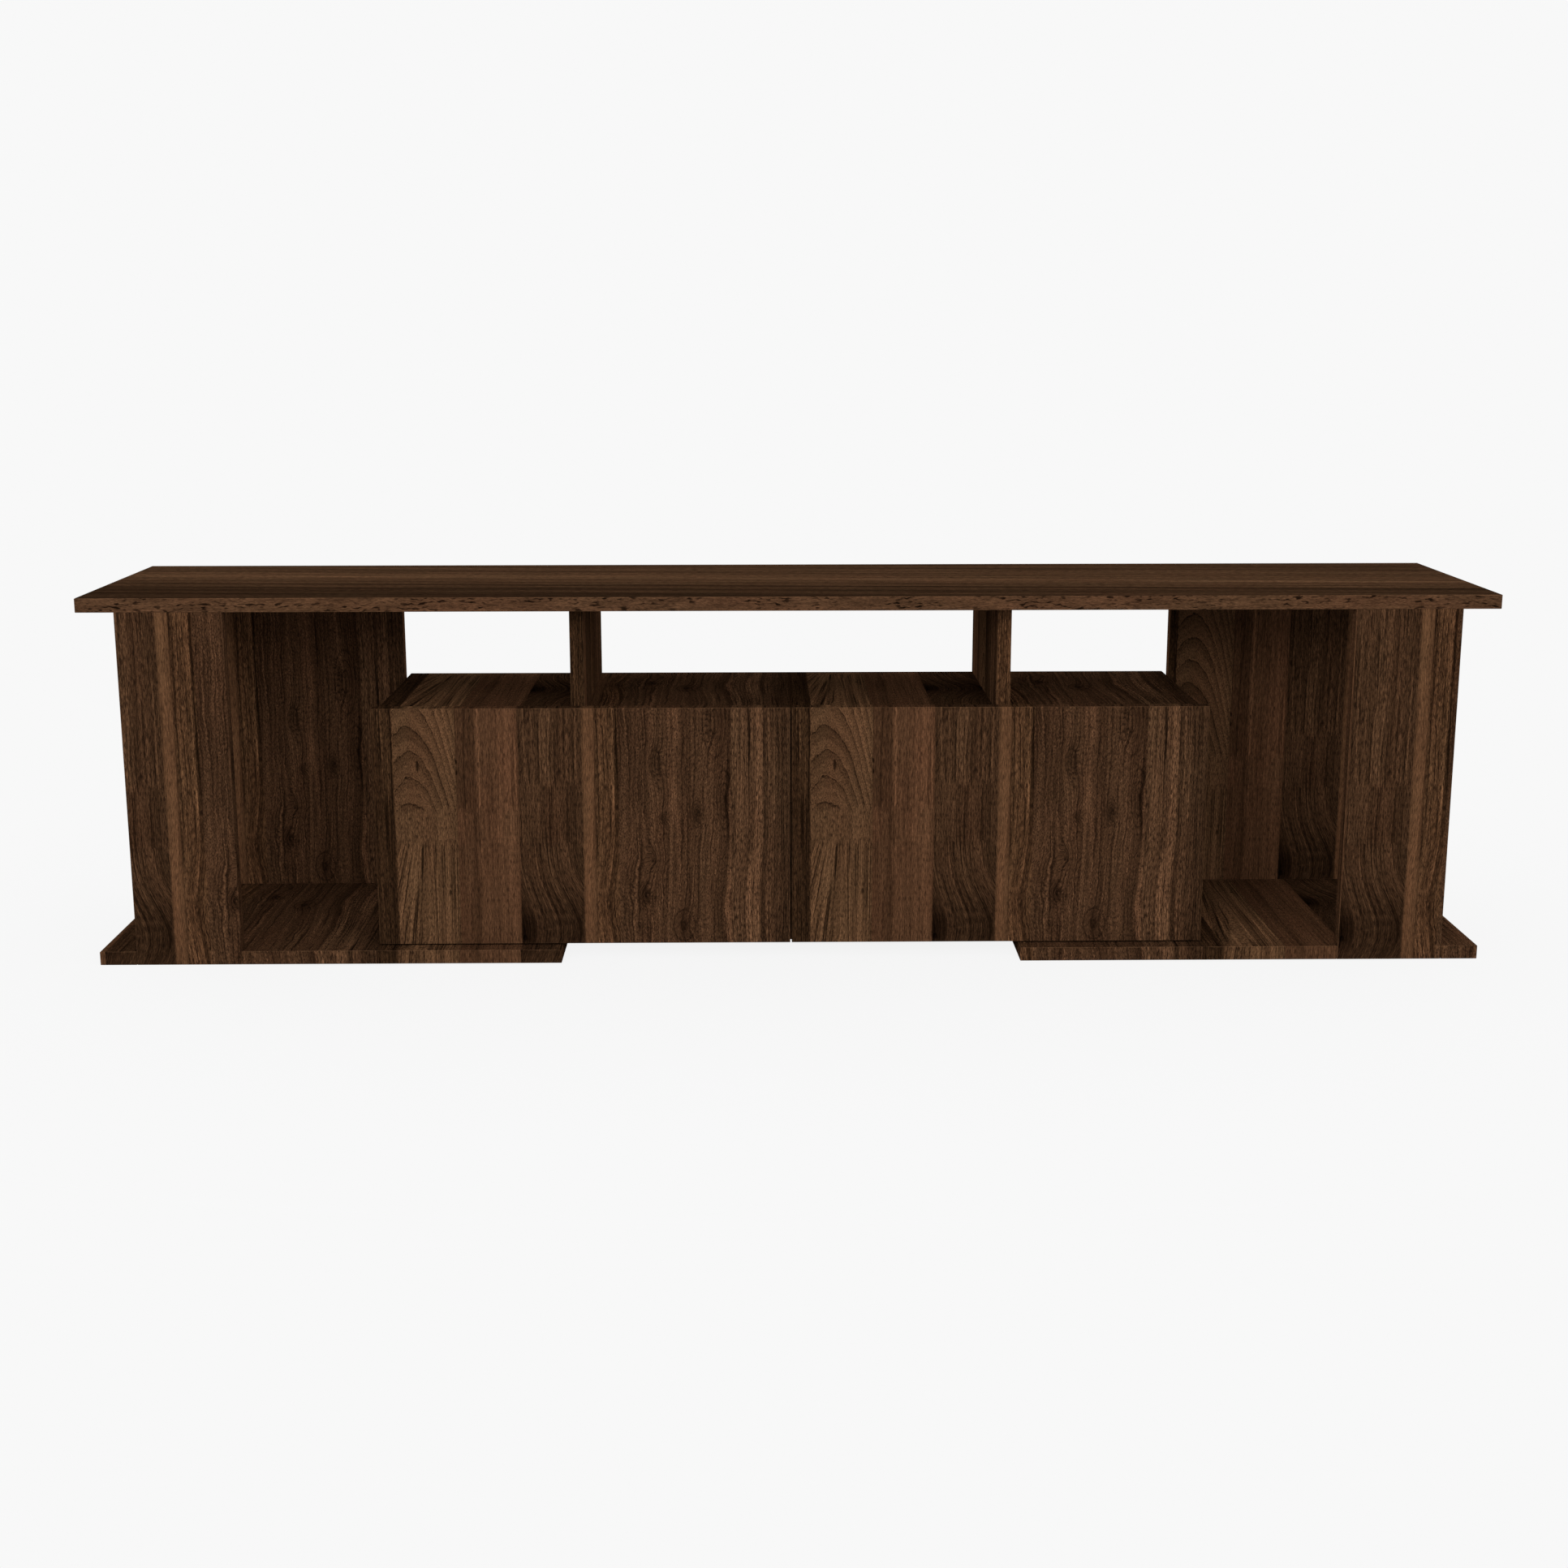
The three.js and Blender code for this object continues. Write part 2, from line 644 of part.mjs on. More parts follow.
function catchHousing() {
  const housing = extruded(
    rectangle(
      [catchFront, catchFront + catchDepth],
      [catchLevel - catchHeight / 2, catchLevel + catchHeight / 2]),
    "x", catchInner, catchInner + catchWidth, edgeArris);
  const halfPocket = (polePitch + poleThickness) / 2 + poleClearance;
  const halfHeight = poleHeight / 2 + poleClearance;
  const pocket = block(
    [catchMiddle - halfPocket, catchMiddle + halfPocket],
    [catchFront - cutOverrun, magnetBack + poleClearance],
    [catchLevel - halfHeight, catchLevel + halfHeight]);
  return cut(housing, [pocket]);
}

function catchMagnet() {
  const levels = [catchLevel - poleHeight / 2, catchLevel + poleHeight / 2];
  const poles = [-polePitch / 2, polePitch / 2].map((offset) =>
    block(
      [catchMiddle + offset - poleThickness / 2, catchMiddle + offset + poleThickness / 2],
      [catchFront - poleReach, magnetBack], levels));
  const magnet = block(
    [catchMiddle - polePitch / 2, catchMiddle + polePitch / 2], [catchFront + magnetSetback, magnetBack],
    levels);
  return join([...poles, magnet]);
}

function strikePlate() {
  return extruded(
    roundedRectangle(
      [catchLevel - strikeHeight / 2, catchLevel + strikeHeight / 2],
      [catchMiddle - strikeWidth / 2, catchMiddle + strikeWidth / 2], strikeWidth / 4),
    "y", doorBack, doorBack + strikeThickness);
}

function bumper(level) {
  const place = [doorMeetingEdge + bumperFromMeetingEdge, level];
  return rod("y", place, bumperRadius, doorBack, doorBack + bumperThickness);
}

// Assembly
const doorEnds = [
  ["lower", hingeLevels[0], cabinetFloor + boardThickness / 2],
  ["upper", hingeLevels[1], cabinetTopLevel - boardThickness / 2],
];

addMesh(unit, "top_board", topBoard(), walnut);
addMesh(cabinet, "cabinet_top", cabinetTop(), walnut);
addMesh(cabinet, "cabinet_bottom", cabinetBottom(), walnut);
addMesh(cabinet, "cabinet_divider", cabinetDivider(), walnut);
addMesh(cabinet, "cabinet_back", cabinetBack(), hardboard);

for (const [hand, side] of [["left", -1], ["right", 1]]) {
  addMesh(unit, `base_board_${hand}`, baseBoard(), walnut, side);
  addMesh(unit, `column_panel_${hand}`, columnPanel(), walnut, side);
  addMesh(unit, `rear_panel_${hand}`, rearPanel(), walnutDark, side);
  addMesh(unit, `post_${hand}`, post(), walnut, side);
  addMesh(unit, `column_cam_${hand}`, cam(), zincSteel, side);
  addMesh(unit, `column_bolt_${hand}`, columnBolt(), zincSteel, side);
  cabinetScrewPlaces.forEach((place, i) => {
    const screw = baseScrew(place, cabinetScrewLength);
    addMesh(unit, `cabinet_screw_${hand}_${i + 1}`, screw, zincSteel, side);
  });
  panelScrewPlaces.forEach((place, i) => {
    const screw = baseScrew(place, panelScrewLength);
    addMesh(unit, `panel_screw_${hand}_${i + 1}`, screw, zincSteel, side);
  });
  addMesh(cabinet, `cabinet_side_${hand}`, cabinetSide(), walnut, side);
  addMesh(cabinet, `catch_housing_${hand}`, catchHousing(), brownPlastic, side);
  addMesh(cabinet, `catch_magnet_${hand}`, catchMagnet(), zincSteel, side);
  wingScrewPlaces().forEach((place, i) => {
    addMesh(cabinet, `wing_screw_${hand}_${i + 1}`, wingScrew(place), zincSteel, side);
  });

  const doorGroup = new THREE.Group();
  cabinet.add(doorGroup);
  addMesh(doorGroup, `door_${hand}`, door(), walnut, side);
  addMesh(doorGroup, `strike_plate_${hand}`, strikePlate(), zincSteel, side);

  for (const [end, hingeLevel, bumperLevel] of doorEnds) {
    addMesh(cabinet, `hinge_wing_${hand}_${end}`, carcassHalf(hingeLevel), nickel, side);
    addMesh(cabinet, `hinge_pin_${hand}_${end}`, hingePin(hingeLevel), zincSteel, side);
    addMesh(doorGroup, `hinge_cup_${hand}_${end}`, doorHalf(hingeLevel), nickel, side);
    addMesh(doorGroup, `bumper_${hand}_${end}`, bumper(bumperLevel), clearRubber, side);
  }
}

export default unit;
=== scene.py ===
import math
from collections import namedtuple

import bpy
import numpy as np
from bpy.props import FloatProperty, FloatVectorProperty, PointerProperty
from mathutils import Matrix, Vector


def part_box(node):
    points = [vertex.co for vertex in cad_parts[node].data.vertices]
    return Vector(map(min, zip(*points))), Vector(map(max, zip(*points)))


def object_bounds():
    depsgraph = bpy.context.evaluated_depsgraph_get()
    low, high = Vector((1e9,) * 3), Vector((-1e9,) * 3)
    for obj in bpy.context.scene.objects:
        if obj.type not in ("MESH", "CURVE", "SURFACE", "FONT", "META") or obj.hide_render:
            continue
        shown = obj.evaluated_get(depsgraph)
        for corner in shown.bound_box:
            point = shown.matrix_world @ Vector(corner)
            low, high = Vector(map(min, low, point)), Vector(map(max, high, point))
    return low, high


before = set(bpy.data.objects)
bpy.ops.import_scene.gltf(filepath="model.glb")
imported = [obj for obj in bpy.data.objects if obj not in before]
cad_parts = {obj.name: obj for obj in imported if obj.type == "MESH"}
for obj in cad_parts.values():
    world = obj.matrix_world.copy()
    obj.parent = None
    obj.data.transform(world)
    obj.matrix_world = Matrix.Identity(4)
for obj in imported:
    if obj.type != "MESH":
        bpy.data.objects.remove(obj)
cad_low, cad_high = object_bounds()

bl_info = {
    "name": "TV unit looks",
    "version": (1, 0, 0),
    "blender": (4, 5, 0),
    "location": "View3D > Sidebar > TV unit",
    "description": "Walnut laminate, fittings, light and camera for the TV unit",
    "category": "Object",
}

MILLIMETRE = 0.001
HANDS = ("left", "right")


def srgb(red, green, blue):
    """A colour given as 0 to 255 screen values, as the linear colour that a shader takes."""
    shares = np.array([red, green, blue], float) / 255
    linear = np.where(shares <= 0.04045, shares / 12.92, ((shares + 0.055) / 1.055) ** 2.4)
    return tuple(float(value) for value in linear)


def opaque(colour):
    """The colour with full alpha, as a ramp or a colour socket takes it."""
    return (colour[0], colour[1], colour[2], 1.0)


def shaded(colour, share):
    """The colour with each of its values times the share."""
    return [share * value for value in colour]


# Settings that a user would change


class WalnutSettings(bpy.types.PropertyGroup):
    """Colours and gloss of the walnut laminate, its painted shade on flat faces and its arrises' wear and
    painted highlight.
    """

    tile_width: FloatProperty(
        name="Tile width", description="Width of one set of planks before the print repeats",
        default=0.540, min=0.1, unit="LENGTH")
    pore_colour: FloatVectorProperty(
        name="Pore colour", description="Colour of the open pores and the darkest lines",
        subtype="COLOR", default=srgb(22, 13, 8), min=0, max=1)
    roughness: FloatProperty(
        name="Roughness", description="Roughness of the matt laminate between its pores",
        default=0.60, min=0, max=1)
    specular: FloatProperty(
        name="Specular level", description="Strength of the matt laminate's reflection",
        default=0.0, min=0, max=1)
    # Painted shade: the foil on faces that look up or down is multiplied by this, standing in for the shade
    # on the shelves under the top board
    painted_flat_shade: FloatProperty(
        name="Shelf tone", description="Brightness of the flat faces' foil against the upright ones'",
        default=0.84, min=0, max=1)
    # Partly wear, partly painted highlight: the lighter colour drawn along the boards' arrises
    worn_and_highlit_edge_colour: FloatVectorProperty(
        name="Worn edge", description="Colour where the foil is rubbed thin along the boards' arrises",
        subtype="COLOR", default=srgb(112, 82, 58), min=0, max=1)
    hardboard: FloatVectorProperty(
        name="Hardboard", description="Colour of the cabinet back's bare rear side",
        subtype="COLOR", default=srgb(104, 78, 55), min=0, max=1)
    pore_depth: FloatProperty(
        name="Pore depth", description="Depth of the embossed pores",
        default=0.00012, min=0, unit="LENGTH")


class FittingSettings(bpy.types.PropertyGroup):
    """Colours of the hinges, catches and bumpers."""

    nickel: FloatVectorProperty(
        name="Nickel", description="Colour of the nickel-plated hinges",
        subtype="COLOR", default=srgb(200, 197, 190), min=0, max=1)
    zinc: FloatVectorProperty(
        name="Zinc", description="Colour of the zinc-plated steel",
        subtype="COLOR", default=srgb(178, 178, 172), min=0, max=1)
    plastic: FloatVectorProperty(
        name="Plastic", description="Colour of the catch housings",
        subtype="COLOR", default=srgb(58, 44, 36), min=0, max=1)
    rubber: FloatVectorProperty(
        name="Rubber", description="Colour of the door bumpers",
        subtype="COLOR", default=srgb(148, 144, 138), min=0, max=1)


class StageSettings(bpy.types.PropertyGroup):
    """Camera, lamps and floor."""

    backdrop: FloatVectorProperty(
        name="Backdrop", description="Colour of the plain background and floor",
        subtype="COLOR", default=srgb(248, 248, 248), min=0, max=1)
    key_power: FloatProperty(
        name="Key lamp", description="Power of the large lamp in front", default=99.0, min=0,
        unit="POWER")
    top_power: FloatProperty(
        name="Top lamp", description="Power of the large lamp above", default=9.0, min=0,
        unit="POWER")
    rear_power: FloatProperty(
        name="Rear lamp", description="Power of the lamp behind", default=70.0, min=0, unit="POWER")
    side_power: FloatProperty(
        name="Side lamps", description="Power of the lamp at each end", default=26.0, min=0,
        unit="POWER")
    ambient: FloatProperty(
        name="Ambient", description="Strength of the even light from all round", default=0.53, min=0)
    focal_length: FloatProperty(
        name="Focal length", description="Lens of the camera", default=48.59, min=1,
        subtype="DISTANCE_CAMERA", unit="CAMERA")


# Building node trees

# Places of a Mix node's colour sockets, whose names repeat for each kind of data
MIX_COLOUR_A = 6
MIX_COLOUR_B = 7
MIX_COLOUR_RESULT = 2


class Wiring:
    """Adds nodes to one node tree. An input is given as a number, a colour or another node's output, and
    most functions give the new node's output back."""

    def __init__(self, tree):
        self.tree = tree

    def node(self, kind, **settings):
        made = self.tree.nodes.new(kind)
        for name, value in settings.items():
            setattr(made, name, value)
        return made

    def feed(self, socket, value):
        if isinstance(value, bpy.types.NodeSocket):
            self.tree.links.new(value, socket)
        else:
            socket.default_value = value

    def row(self, kind, values, **settings):
        """A node whose first inputs take the values in turn."""
        made = self.node(kind, **settings)
        for socket, value in zip(made.inputs, values):
            self.feed(socket, value)
        return made

    def named(self, kind, values, **settings):
        """The first output of a node whose inputs take the values by name."""
        made = self.node(kind, **settings)
        for name, value in values.items():
            self.feed(made.inputs[name], value)
        return made.outputs[0]

    def maths(self, operation, *values, clamp=False):
        return self.row("ShaderNodeMath", values, operation=operation, use_clamp=clamp).outputs[0]

    def plus(self, a, b):
        return self.maths("ADD", a, b)

    def minus(self, a, b):
        return self.maths("SUBTRACT", a, b)

    def times(self, a, b):
        return self.maths("MULTIPLY", a, b)

    def over(self, a, b):
        return self.maths("DIVIDE", a, b)

    def squared(self, a):
        return self.maths("MULTIPLY", a, a)

    def blend(self, share, a, b):
        """a where share is 0 and b where it is 1, as numbers."""
        return self.named("ShaderNodeMix", {"Factor": share, "A": a, "B": b}, data_type="FLOAT")

    def blend_colours(self, share, a, b, mode="MIX"):
        """The same for colours, where b may be mixed with a in another mode."""
        made = self.node("ShaderNodeMix", data_type="RGBA", blend_type=mode)
        self.feed(made.inputs[0], share)
        self.feed(made.inputs[MIX_COLOUR_A], a)
        self.feed(made.inputs[MIX_COLOUR_B], b)
        return made.outputs[MIX_COLOUR_RESULT]

    def blend_shaders(self, share, a, b):
        return self.row("ShaderNodeMixShader", (share, a, b)).outputs[0]

    def between(self, value, low, high):
        """1 where value lies between low and high, else 0."""
        above = self.maths("GREATER_THAN", value, low)
        below = self.maths("LESS_THAN", value, high)
        return self.times(above, below)

    def smooth(self, value, low, high, to_low=0.0, to_high=1.0):
        """Value eased from to_low at low to to_high at high, and held beyond them."""
        values = (value, low, high, to_low, to_high)
        return self.row("ShaderNodeMapRange", values, interpolation_type="SMOOTHSTEP").outputs[0]

    def vectors(self, operation, *values, output=0):
        """A vector operation. Its second output is a number, as for a dot product or a length."""
        return self.row("ShaderNodeVectorMath", values, operation=operation).outputs[output]

    def joined(self, x, y, z=0.0):
        return self.row("ShaderNodeCombineXYZ", (x, y, z)).outputs[0]

    def grey(self, value):
        return self.joined(value, value, value)

    def parted(self, vector):
        return self.row("ShaderNodeSeparateXYZ", (vector,)).outputs

    def noise(self, vector, detail, scale=1.0, distortion=0.0):
        """Soft noise from 0 to 1 about a middle of 0.5."""
        values = {"Vector": vector, "Scale": scale, "Detail": detail, "Distortion": distortion}
        return self.named("ShaderNodeTexNoise", values, noise_dimensions="3D")

    def ramp(self, value, stops, interpolation):
        """The colour at value on a ramp of (place, colour) stops, given in rising order."""
        made = self.node("ShaderNodeValToRGB")
        elements = made.color_ramp.elements
        made.color_ramp.interpolation = interpolation
        first, *between, last = stops
        elements[0].position = first[0]
        elements[0].color = opaque(first[1])
        elements[1].position = last[0]
        elements[1].color = opaque(last[1])
        for place, colour in between:
            elements.new(place).color = opaque(colour)
        self.feed(made.inputs[0], value)
        return made.outputs[0]


def new_material(name):
    """An empty node material and its wiring."""
    material = bpy.data.materials.new(name)
    material.use_nodes = True
    material.node_tree.nodes.clear()
    return material, Wiring(material.node_tree)


def surface(w, colour, roughness, specular, metallic, normal):
    """Ends the material with a principled shader."""
    shader = w.named("ShaderNodeBsdfPrincipled", {
        "Base Color": colour,
        "Roughness": roughness,
        "Specular IOR Level": specular,
        "Metallic": metallic,
        "Normal": normal,
    })
    w.feed(w.node("ShaderNodeOutputMaterial").inputs["Surface"], shader)


def bumped(w, height, depth, strength):
    """A normal from a height between 0 and 1, where 1 stands depth metres above 0."""
    return w.named("ShaderNodeBump", {"Height": height, "Distance": depth, "Strength": strength})


# Walnut laminate. Its print is one tile of planks, side by side across the grain, that repeats along every
# board. Places are millimetres across the tile and up from the floor. Tones are screen brightness, where 1
# is the print's mean.

SCREEN_GAMMA = 2.2

# One plank of the tile: where it starts, its colour at tone 1, how strongly its lines show, how far its
# grain swirls and the height of its upper butt joint
Plank = namedtuple("Plank", "name start colour contrast swirl joint")
# One layer of noise along the grain: how wide and how long its grains are in millimetres, how much it
# counts, how much finer detail it has, and the two values between which its crests rise from 0 to 1
Layer = namedtuple("Layer", "width length strength detail edge", defaults=(1.0, 1.0, None))
# What is known of a place on the tile. The last five are 1 on planks with joints, above the upper joint, in
# the flame's arches, in its fan and in the knotted plank, and 0 elsewhere.
Spot = namedtuple("Spot", "across up colour contrast coarseness swirl seed jointed above arches fan knotted")

# NO_JOINT is above every board. Planks with joints have a second one at LOWER_JOINT.
NO_JOINT = 990
LOWER_JOINT = 155
PLANKS = (
    Plank("dark edge", 0, srgb(75, 52, 34), 1.1, 0.3, NO_JOINT),
    Plank("flame", 27, srgb(77, 54, 36), 0.8, 0.5, 200),
    Plank("brown", 106, srgb(77, 52, 35), 0.5, 0.2, 200),
    Plank("knotted", 187, srgb(75, 52, 35), 0.9, 0.2, 236),
    Plank("bright", 270, srgb(77, 53, 35), 0.4, 0.1, NO_JOINT),
    Plank("striped", 286, srgb(76, 52, 34), 1.0, 0.4, NO_JOINT),
    Plank("figured", 315, srgb(77, 53, 36), 0.8, 1.5, NO_JOINT),
    Plank("straight", 460, srgb(76, 53, 36), 1.0, 0.4, NO_JOINT),
)
TILE_END = 540.0
# A ramp holds each number of a plank as a share of the most that it may be.
PLANK_LIMITS = {"start": TILE_END, "contrast": 2.0, "swirl": 2.0, "joint": 1000.0}
# A plank has joints where its upper one lies below this height.
JOINT_CEILING = 900.0

# Seed of the noise: a step for every ten millimetres of the plank's start, and more above the upper joint
# or below the lower one
SEED_RATE = 0.1
SEED_STEP = 1.37
ABOVE_SEED = 7.7
BELOW_SEED = 3.1
TOP_SEED = 2.0
EDGING_SEED = 5.0

# The highest tone of the tables, which a ramp holds as white
TONE_TOP = 1.35
# Where the tone of the print changes across the tile, above the butt joints and below them
UPPER_TONES = (
    (0, 0.70), (9, 0.76), (19, 0.70), (24, 0.58), (26.8, 0.62), (27.2, 1.08), (50, 1.08), (104, 1.14),
    (106.5, 1.04), (107, 0.82), (131, 0.84), (135, 1.02), (137, 1.34), (139, 1.03), (160, 1.03),
    (170, 1.04), (172, 1.34), (174, 1.04), (186.8, 1.12), (187.2, 0.86), (228, 0.92), (269.8, 0.84),
    (270.2, 1.16), (285, 1.12), (287.5, 0.78), (291, 0.98), (311, 1.08), (313.5, 0.56), (317, 0.80),
    (380, 0.88), (388, 1.06), (411, 0.80),
)
LOWER_TONES = (
    (0, 0.70), (12, 0.76), (23, 0.56), (26.8, 0.64), (27.2, 1.06), (60, 1.04), (92, 1.16), (98, 1.02),
    (106, 1.10), (108, 0.98), (127, 0.96), (130, 0.76), (134, 1.00), (160, 1.06), (180, 1.12),
    (186.8, 1.08), (187.2, 0.84), (230, 0.90), (269.8, 0.78), (270.2, 1.16), (284, 1.12), (287, 0.86),
    (296, 1.04), (311, 1.00), (314, 0.62), (318, 0.92), (345, 1.00), (380, 0.90), (388, 1.04),
    (404, 0.96), (411, 0.84),
)
# The last stretch is the same above and below.
SHARED_TONES = (
    (411, 0.94), (440, 0.96), (452, 0.86), (458, 0.92), (460.5, 0.72), (463, 1.06), (482, 0.98),
    (495, 1.14), (503, 1.12), (505, 0.74), (511, 0.96), (522, 0.86), (527, 0.74), (TILE_END, 0.78),
)
# On planks without joints the lower tones turn into the upper ones from LOWER_JOINT to this height.
UPPER_START = 240.0
# The streaks bend with the lines between these places.
BENT_FROM = 287
BENT_TO = 529

# Noise of the planks. STAGGER moves their ends at the joints up and down, the next four move the grain
# sideways, and the others are its lines and dots.
STAGGER = Layer(2.2, 900.0, 40.0)
WANDER = Layer(60.0, 210.0, 8.0)
TURNS = Layer(15.0, 38.0, 4.5)
SHAKES = Layer(4.0, 9.0, 1.7)
ARCH_SHAKES = Layer(16.0, 30.0, 5.0, detail=2.0)
BROAD_LINES = Layer(13.0, 900.0, 0.45)
MIDDLE_LINES = Layer(4.2, 420.0, 0.70, detail=2.0)
DARK_LINES = Layer(1.7, 120.0, 0.34, edge=(0.05, 0.15))
PALE_LINES = Layer(2.1, 190.0, 0.24, edge=(0.07, 0.17))
RING_DOTS = Layer(1.1, 3.2, 0.9, detail=0.0)
# Seed of the arches' shakes, and what the pale lines add to theirs
ARCH_SEED = 4.4
PALE_SEED = 9.1

# Length of the fibres on straight wood and in the arches
FIBRE_LENGTH = 9.0
ARCH_FIBRE_LENGTH = 2.4
# Fibres, grit and open pores of every print. FIBRE_TONE makes up for what the pores darken.
FIBRES = Layer(1.0, FIBRE_LENGTH, 1.1)
GRIT = Layer(0.8, 1.6, 0.35, detail=0.0)
PORES = Layer(0.85, FIBRE_LENGTH, 0.66, detail=0.0, edge=(0.08, 0.13))
PORE_SEED = 3.3
FIBRE_TONE = 1.07
DARKEST_TONE = 0.2
# Soft patches in which the wood is greener or redder
TINT_WIDTH = 30
TINT_LENGTH = 160
GREEN_TINT = (0.95, 1.02, 1.02, 1.0)
RED_TINT = (1.05, 0.97, 0.98, 1.0)

# How coarse the wood is: the least, what contrast adds, and the shares left in the fan and the arches
COARSE_LEAST = 0.40
COARSE_RATE = 0.6
FAN_COARSENESS = 0.8
ARCH_COARSENESS = 0.85

# Eyes, arches and bends of the planks without joints: across, up, half width, half height, how far they
# push the grain sideways, and how much darker they are
FIGURES = (
    (350, 86, 7, 12, 5.0, 0.36),
    (418, 194, 6, 14, 5.0, 0.34),
    (376, 188, 6, 7, 4.0, 0.26),
    (364, 262, 11, 26, 8.0, 0.10),
    (363, 134, 12, 17, -9.0, 0.06),
    (441, 316, 13, 40, -9.0, 0.24),
    (454, 212, 9, 36, 4.0, 0.20),
    (400, 44, 16, 24, 8.0, 0.14),
    (306, 76, 34, 62, 12.0, 0.0),
    (452, 60, 42, 90, 9.0, 0.0),
)
# Fine dark rings lie round the figures, one for each step of their shade. A ring starts and is full at
# two shares of its step, and the first one rises from SHADE_RING_START of the step to all of it.
SHADE_STEP = 0.07
SHADE_RING_EDGE = (0.70, 0.95)
SHADE_RING_START = 0.4
SHADE_RING = 0.22

# Pin knots: across, up, half width and half height. They fade from the core to the rim, in half widths.
PIN_KNOTS = (
    (58, 259, 2.2, 9.0),
    (108, 264, 1.5, 4.0),
    (108, 250, 1.5, 4.0),
    (95, 90, 1.8, 4.5),
    (191, 28, 3.5, 5.0),
)
PIN_KNOT_RIM = 1.1
PIN_KNOT_CORE = 0.5
PIN_KNOT_SHADE = 0.45

# Flame: arches that are parabolas, ARCH_HEIGHT apart up the board and about FLANK_SPACING apart on the
# flanks. The first line lies ARCH_START below the floor. FLAME_CURVE is half width squared over drop.
FLAME_MIDDLE = 47.5
FLAME_CURVE = 24.0
ARCH_HEIGHT = 33.0
ARCH_START = 19.0
FLANK_SPACING = 9.0
# A growth ring darkens, then has a dotted line, and then ends, each between two shares of its width.
RING_BAND_EDGE = (0.30, 0.90)
RING_BAND = 0.17
RING_LINE_EDGE = (0.89, 0.94)
RING_LINE = 0.22
RING_END_EDGE = (0.995, 0.975)
# Below its joints the flame's left flank fans out downwards from FAN_EDGE, by FAN_RATE a millimetre.
FAN_EDGE = 72.0
FAN_RATE = 0.0075
# How strongly lines show in the arches, in the fan and in the patch between the flame's joints
ARCH_CONTRAST = 0.30
FAN_CONTRAST = 1.3
PATCH_CONTRAST = 0.35
# How much of the grain's drift the arches, the fan and the knot's surroundings keep
ARCH_DRIFT = 0.35
FAN_DRIFT = 0.5
KNOT_DRIFT = 0.35

# Knot at the knotted plank's left edge: its height, half height, how far it pushes the grain, how much it
# fans it out, how much darker it is, and its darker heart
KNOT_UP = 38.0
KNOT_HALF_HEIGHT = 58.0
KNOT_PUSH = 23.0
KNOT_FAN = 0.22
KNOT_SHADE = 0.20
HEART_HALF_HEIGHT = 27.0
HEART_EDGE = (1.0, -5.0)
HEART_SHADE = 0.26
# Pale cross-grain streaks beside the knot: height, half thickness and where they end. They start at
# STREAK_EDGE from the knot and fade out over STREAK_FADE.
KNOT_STREAKS = ((57.0, 2.5, 268.0), (39.5, 1.0, 236.0))
STREAK_EDGE = (2.0, 6.0)
STREAK_FADE = 12.0
STREAK_TONE = 0.10


def share_of(place):
    """A place across the tile as a share of it."""
    settings = bpy.context.scene.walnut_settings
    return place * MILLIMETRE / settings.tile_width


def plank_bounds(wanted):
    """Where the named plank starts and ends, in millimetres."""
    names = [plank.name for plank in PLANKS]
    place = names.index(wanted)
    starts = [plank.start for plank in PLANKS] + [TILE_END]
    return starts[place], starts[place + 1]


def grey_ramp(w, value, stops, interpolation):
    """The number at value on a ramp of (place, number) stops, with numbers from 0 to 1."""
    greys = [(place, (number,) * 3) for place, number in stops]
    return w.parted(w.ramp(value, greys, interpolation))[0]


def plank_value(w, share, field):
    """One number of the plank at the place on the tile."""
    most = PLANK_LIMITS[field]
    stops = [(share_of(plank.start), getattr(plank, field) / most) for plank in PLANKS]
    return w.times(grey_ramp(w, share, stops, "CONSTANT"), most)


def grain_noise(w, across, up, layer, seed):
    """Noise that is drawn out along the grain, from about minus to plus a half."""
    place = w.joined(w.over(across, layer.width), w.over(up, layer.length), seed)
    return w.minus(w.noise(place, detail=layer.detail), 0.5)


def swell(w, across, up, layer, seed):
    """A layer's noise at its strength."""
    return w.times(grain_noise(w, across, up, layer, seed), layer.strength)


def crests(w, across, up, layer, seed, to_low=0.0, to_high=1.0):
    """to_high on the crests of a layer's noise, and to_low off them."""
    return w.smooth(grain_noise(w, across, up, layer, seed), *layer.edge, to_low, to_high)


def bell(w, value, middle, half_width):
    """1 at the middle, and down by e at half_width to either side."""
    offset = w.over(w.minus(value, middle), half_width)
    return w.maths("EXPONENT", w.times(w.squared(offset), -1.0))


def oval_offset(w, place, across, up, half_width, half_height):
    """How far a place lies from an upright oval's middle, in half widths and half heights."""
    offset = w.vectors("SUBTRACT", place, (across, up, 0.0))
    return w.vectors("MULTIPLY", offset, (1 / half_width, 1 / half_height, 0.0))


def pin_knots(w, place):
    """1 in the small dark pin knots, which are upright ovals, and 0 outside them."""
    knots = 0.0
    for across, up, half_width, half_height in PIN_KNOTS:
        offset = oval_offset(w, place, across, up, half_width, half_height)
        distance = w.vectors("LENGTH", offset, output=1)
        knots = w.maths("MAXIMUM", knots, w.smooth(distance, PIN_KNOT_RIM, PIN_KNOT_CORE))
    return knots


def figure_bends(w, place):
    """How far the figures push the grain sideways, and their shade. Both are bells round each figure."""
    pushed = 0.0
    shade = 0.0
    for across, up, half_width, half_height, push, dark in FIGURES:
        offset = oval_offset(w, place, across, up, half_width, half_height)
        distance = w.vectors("DOT_PRODUCT", offset, offset, output=1)
        fall = w.maths("EXPONENT", w.times(distance, -1.0))
        pushed = w.maths("MULTIPLY_ADD", fall, push, pushed)
        if dark:
            shade = w.maths("MULTIPLY_ADD", fall, dark, shade)
    return pushed, shade


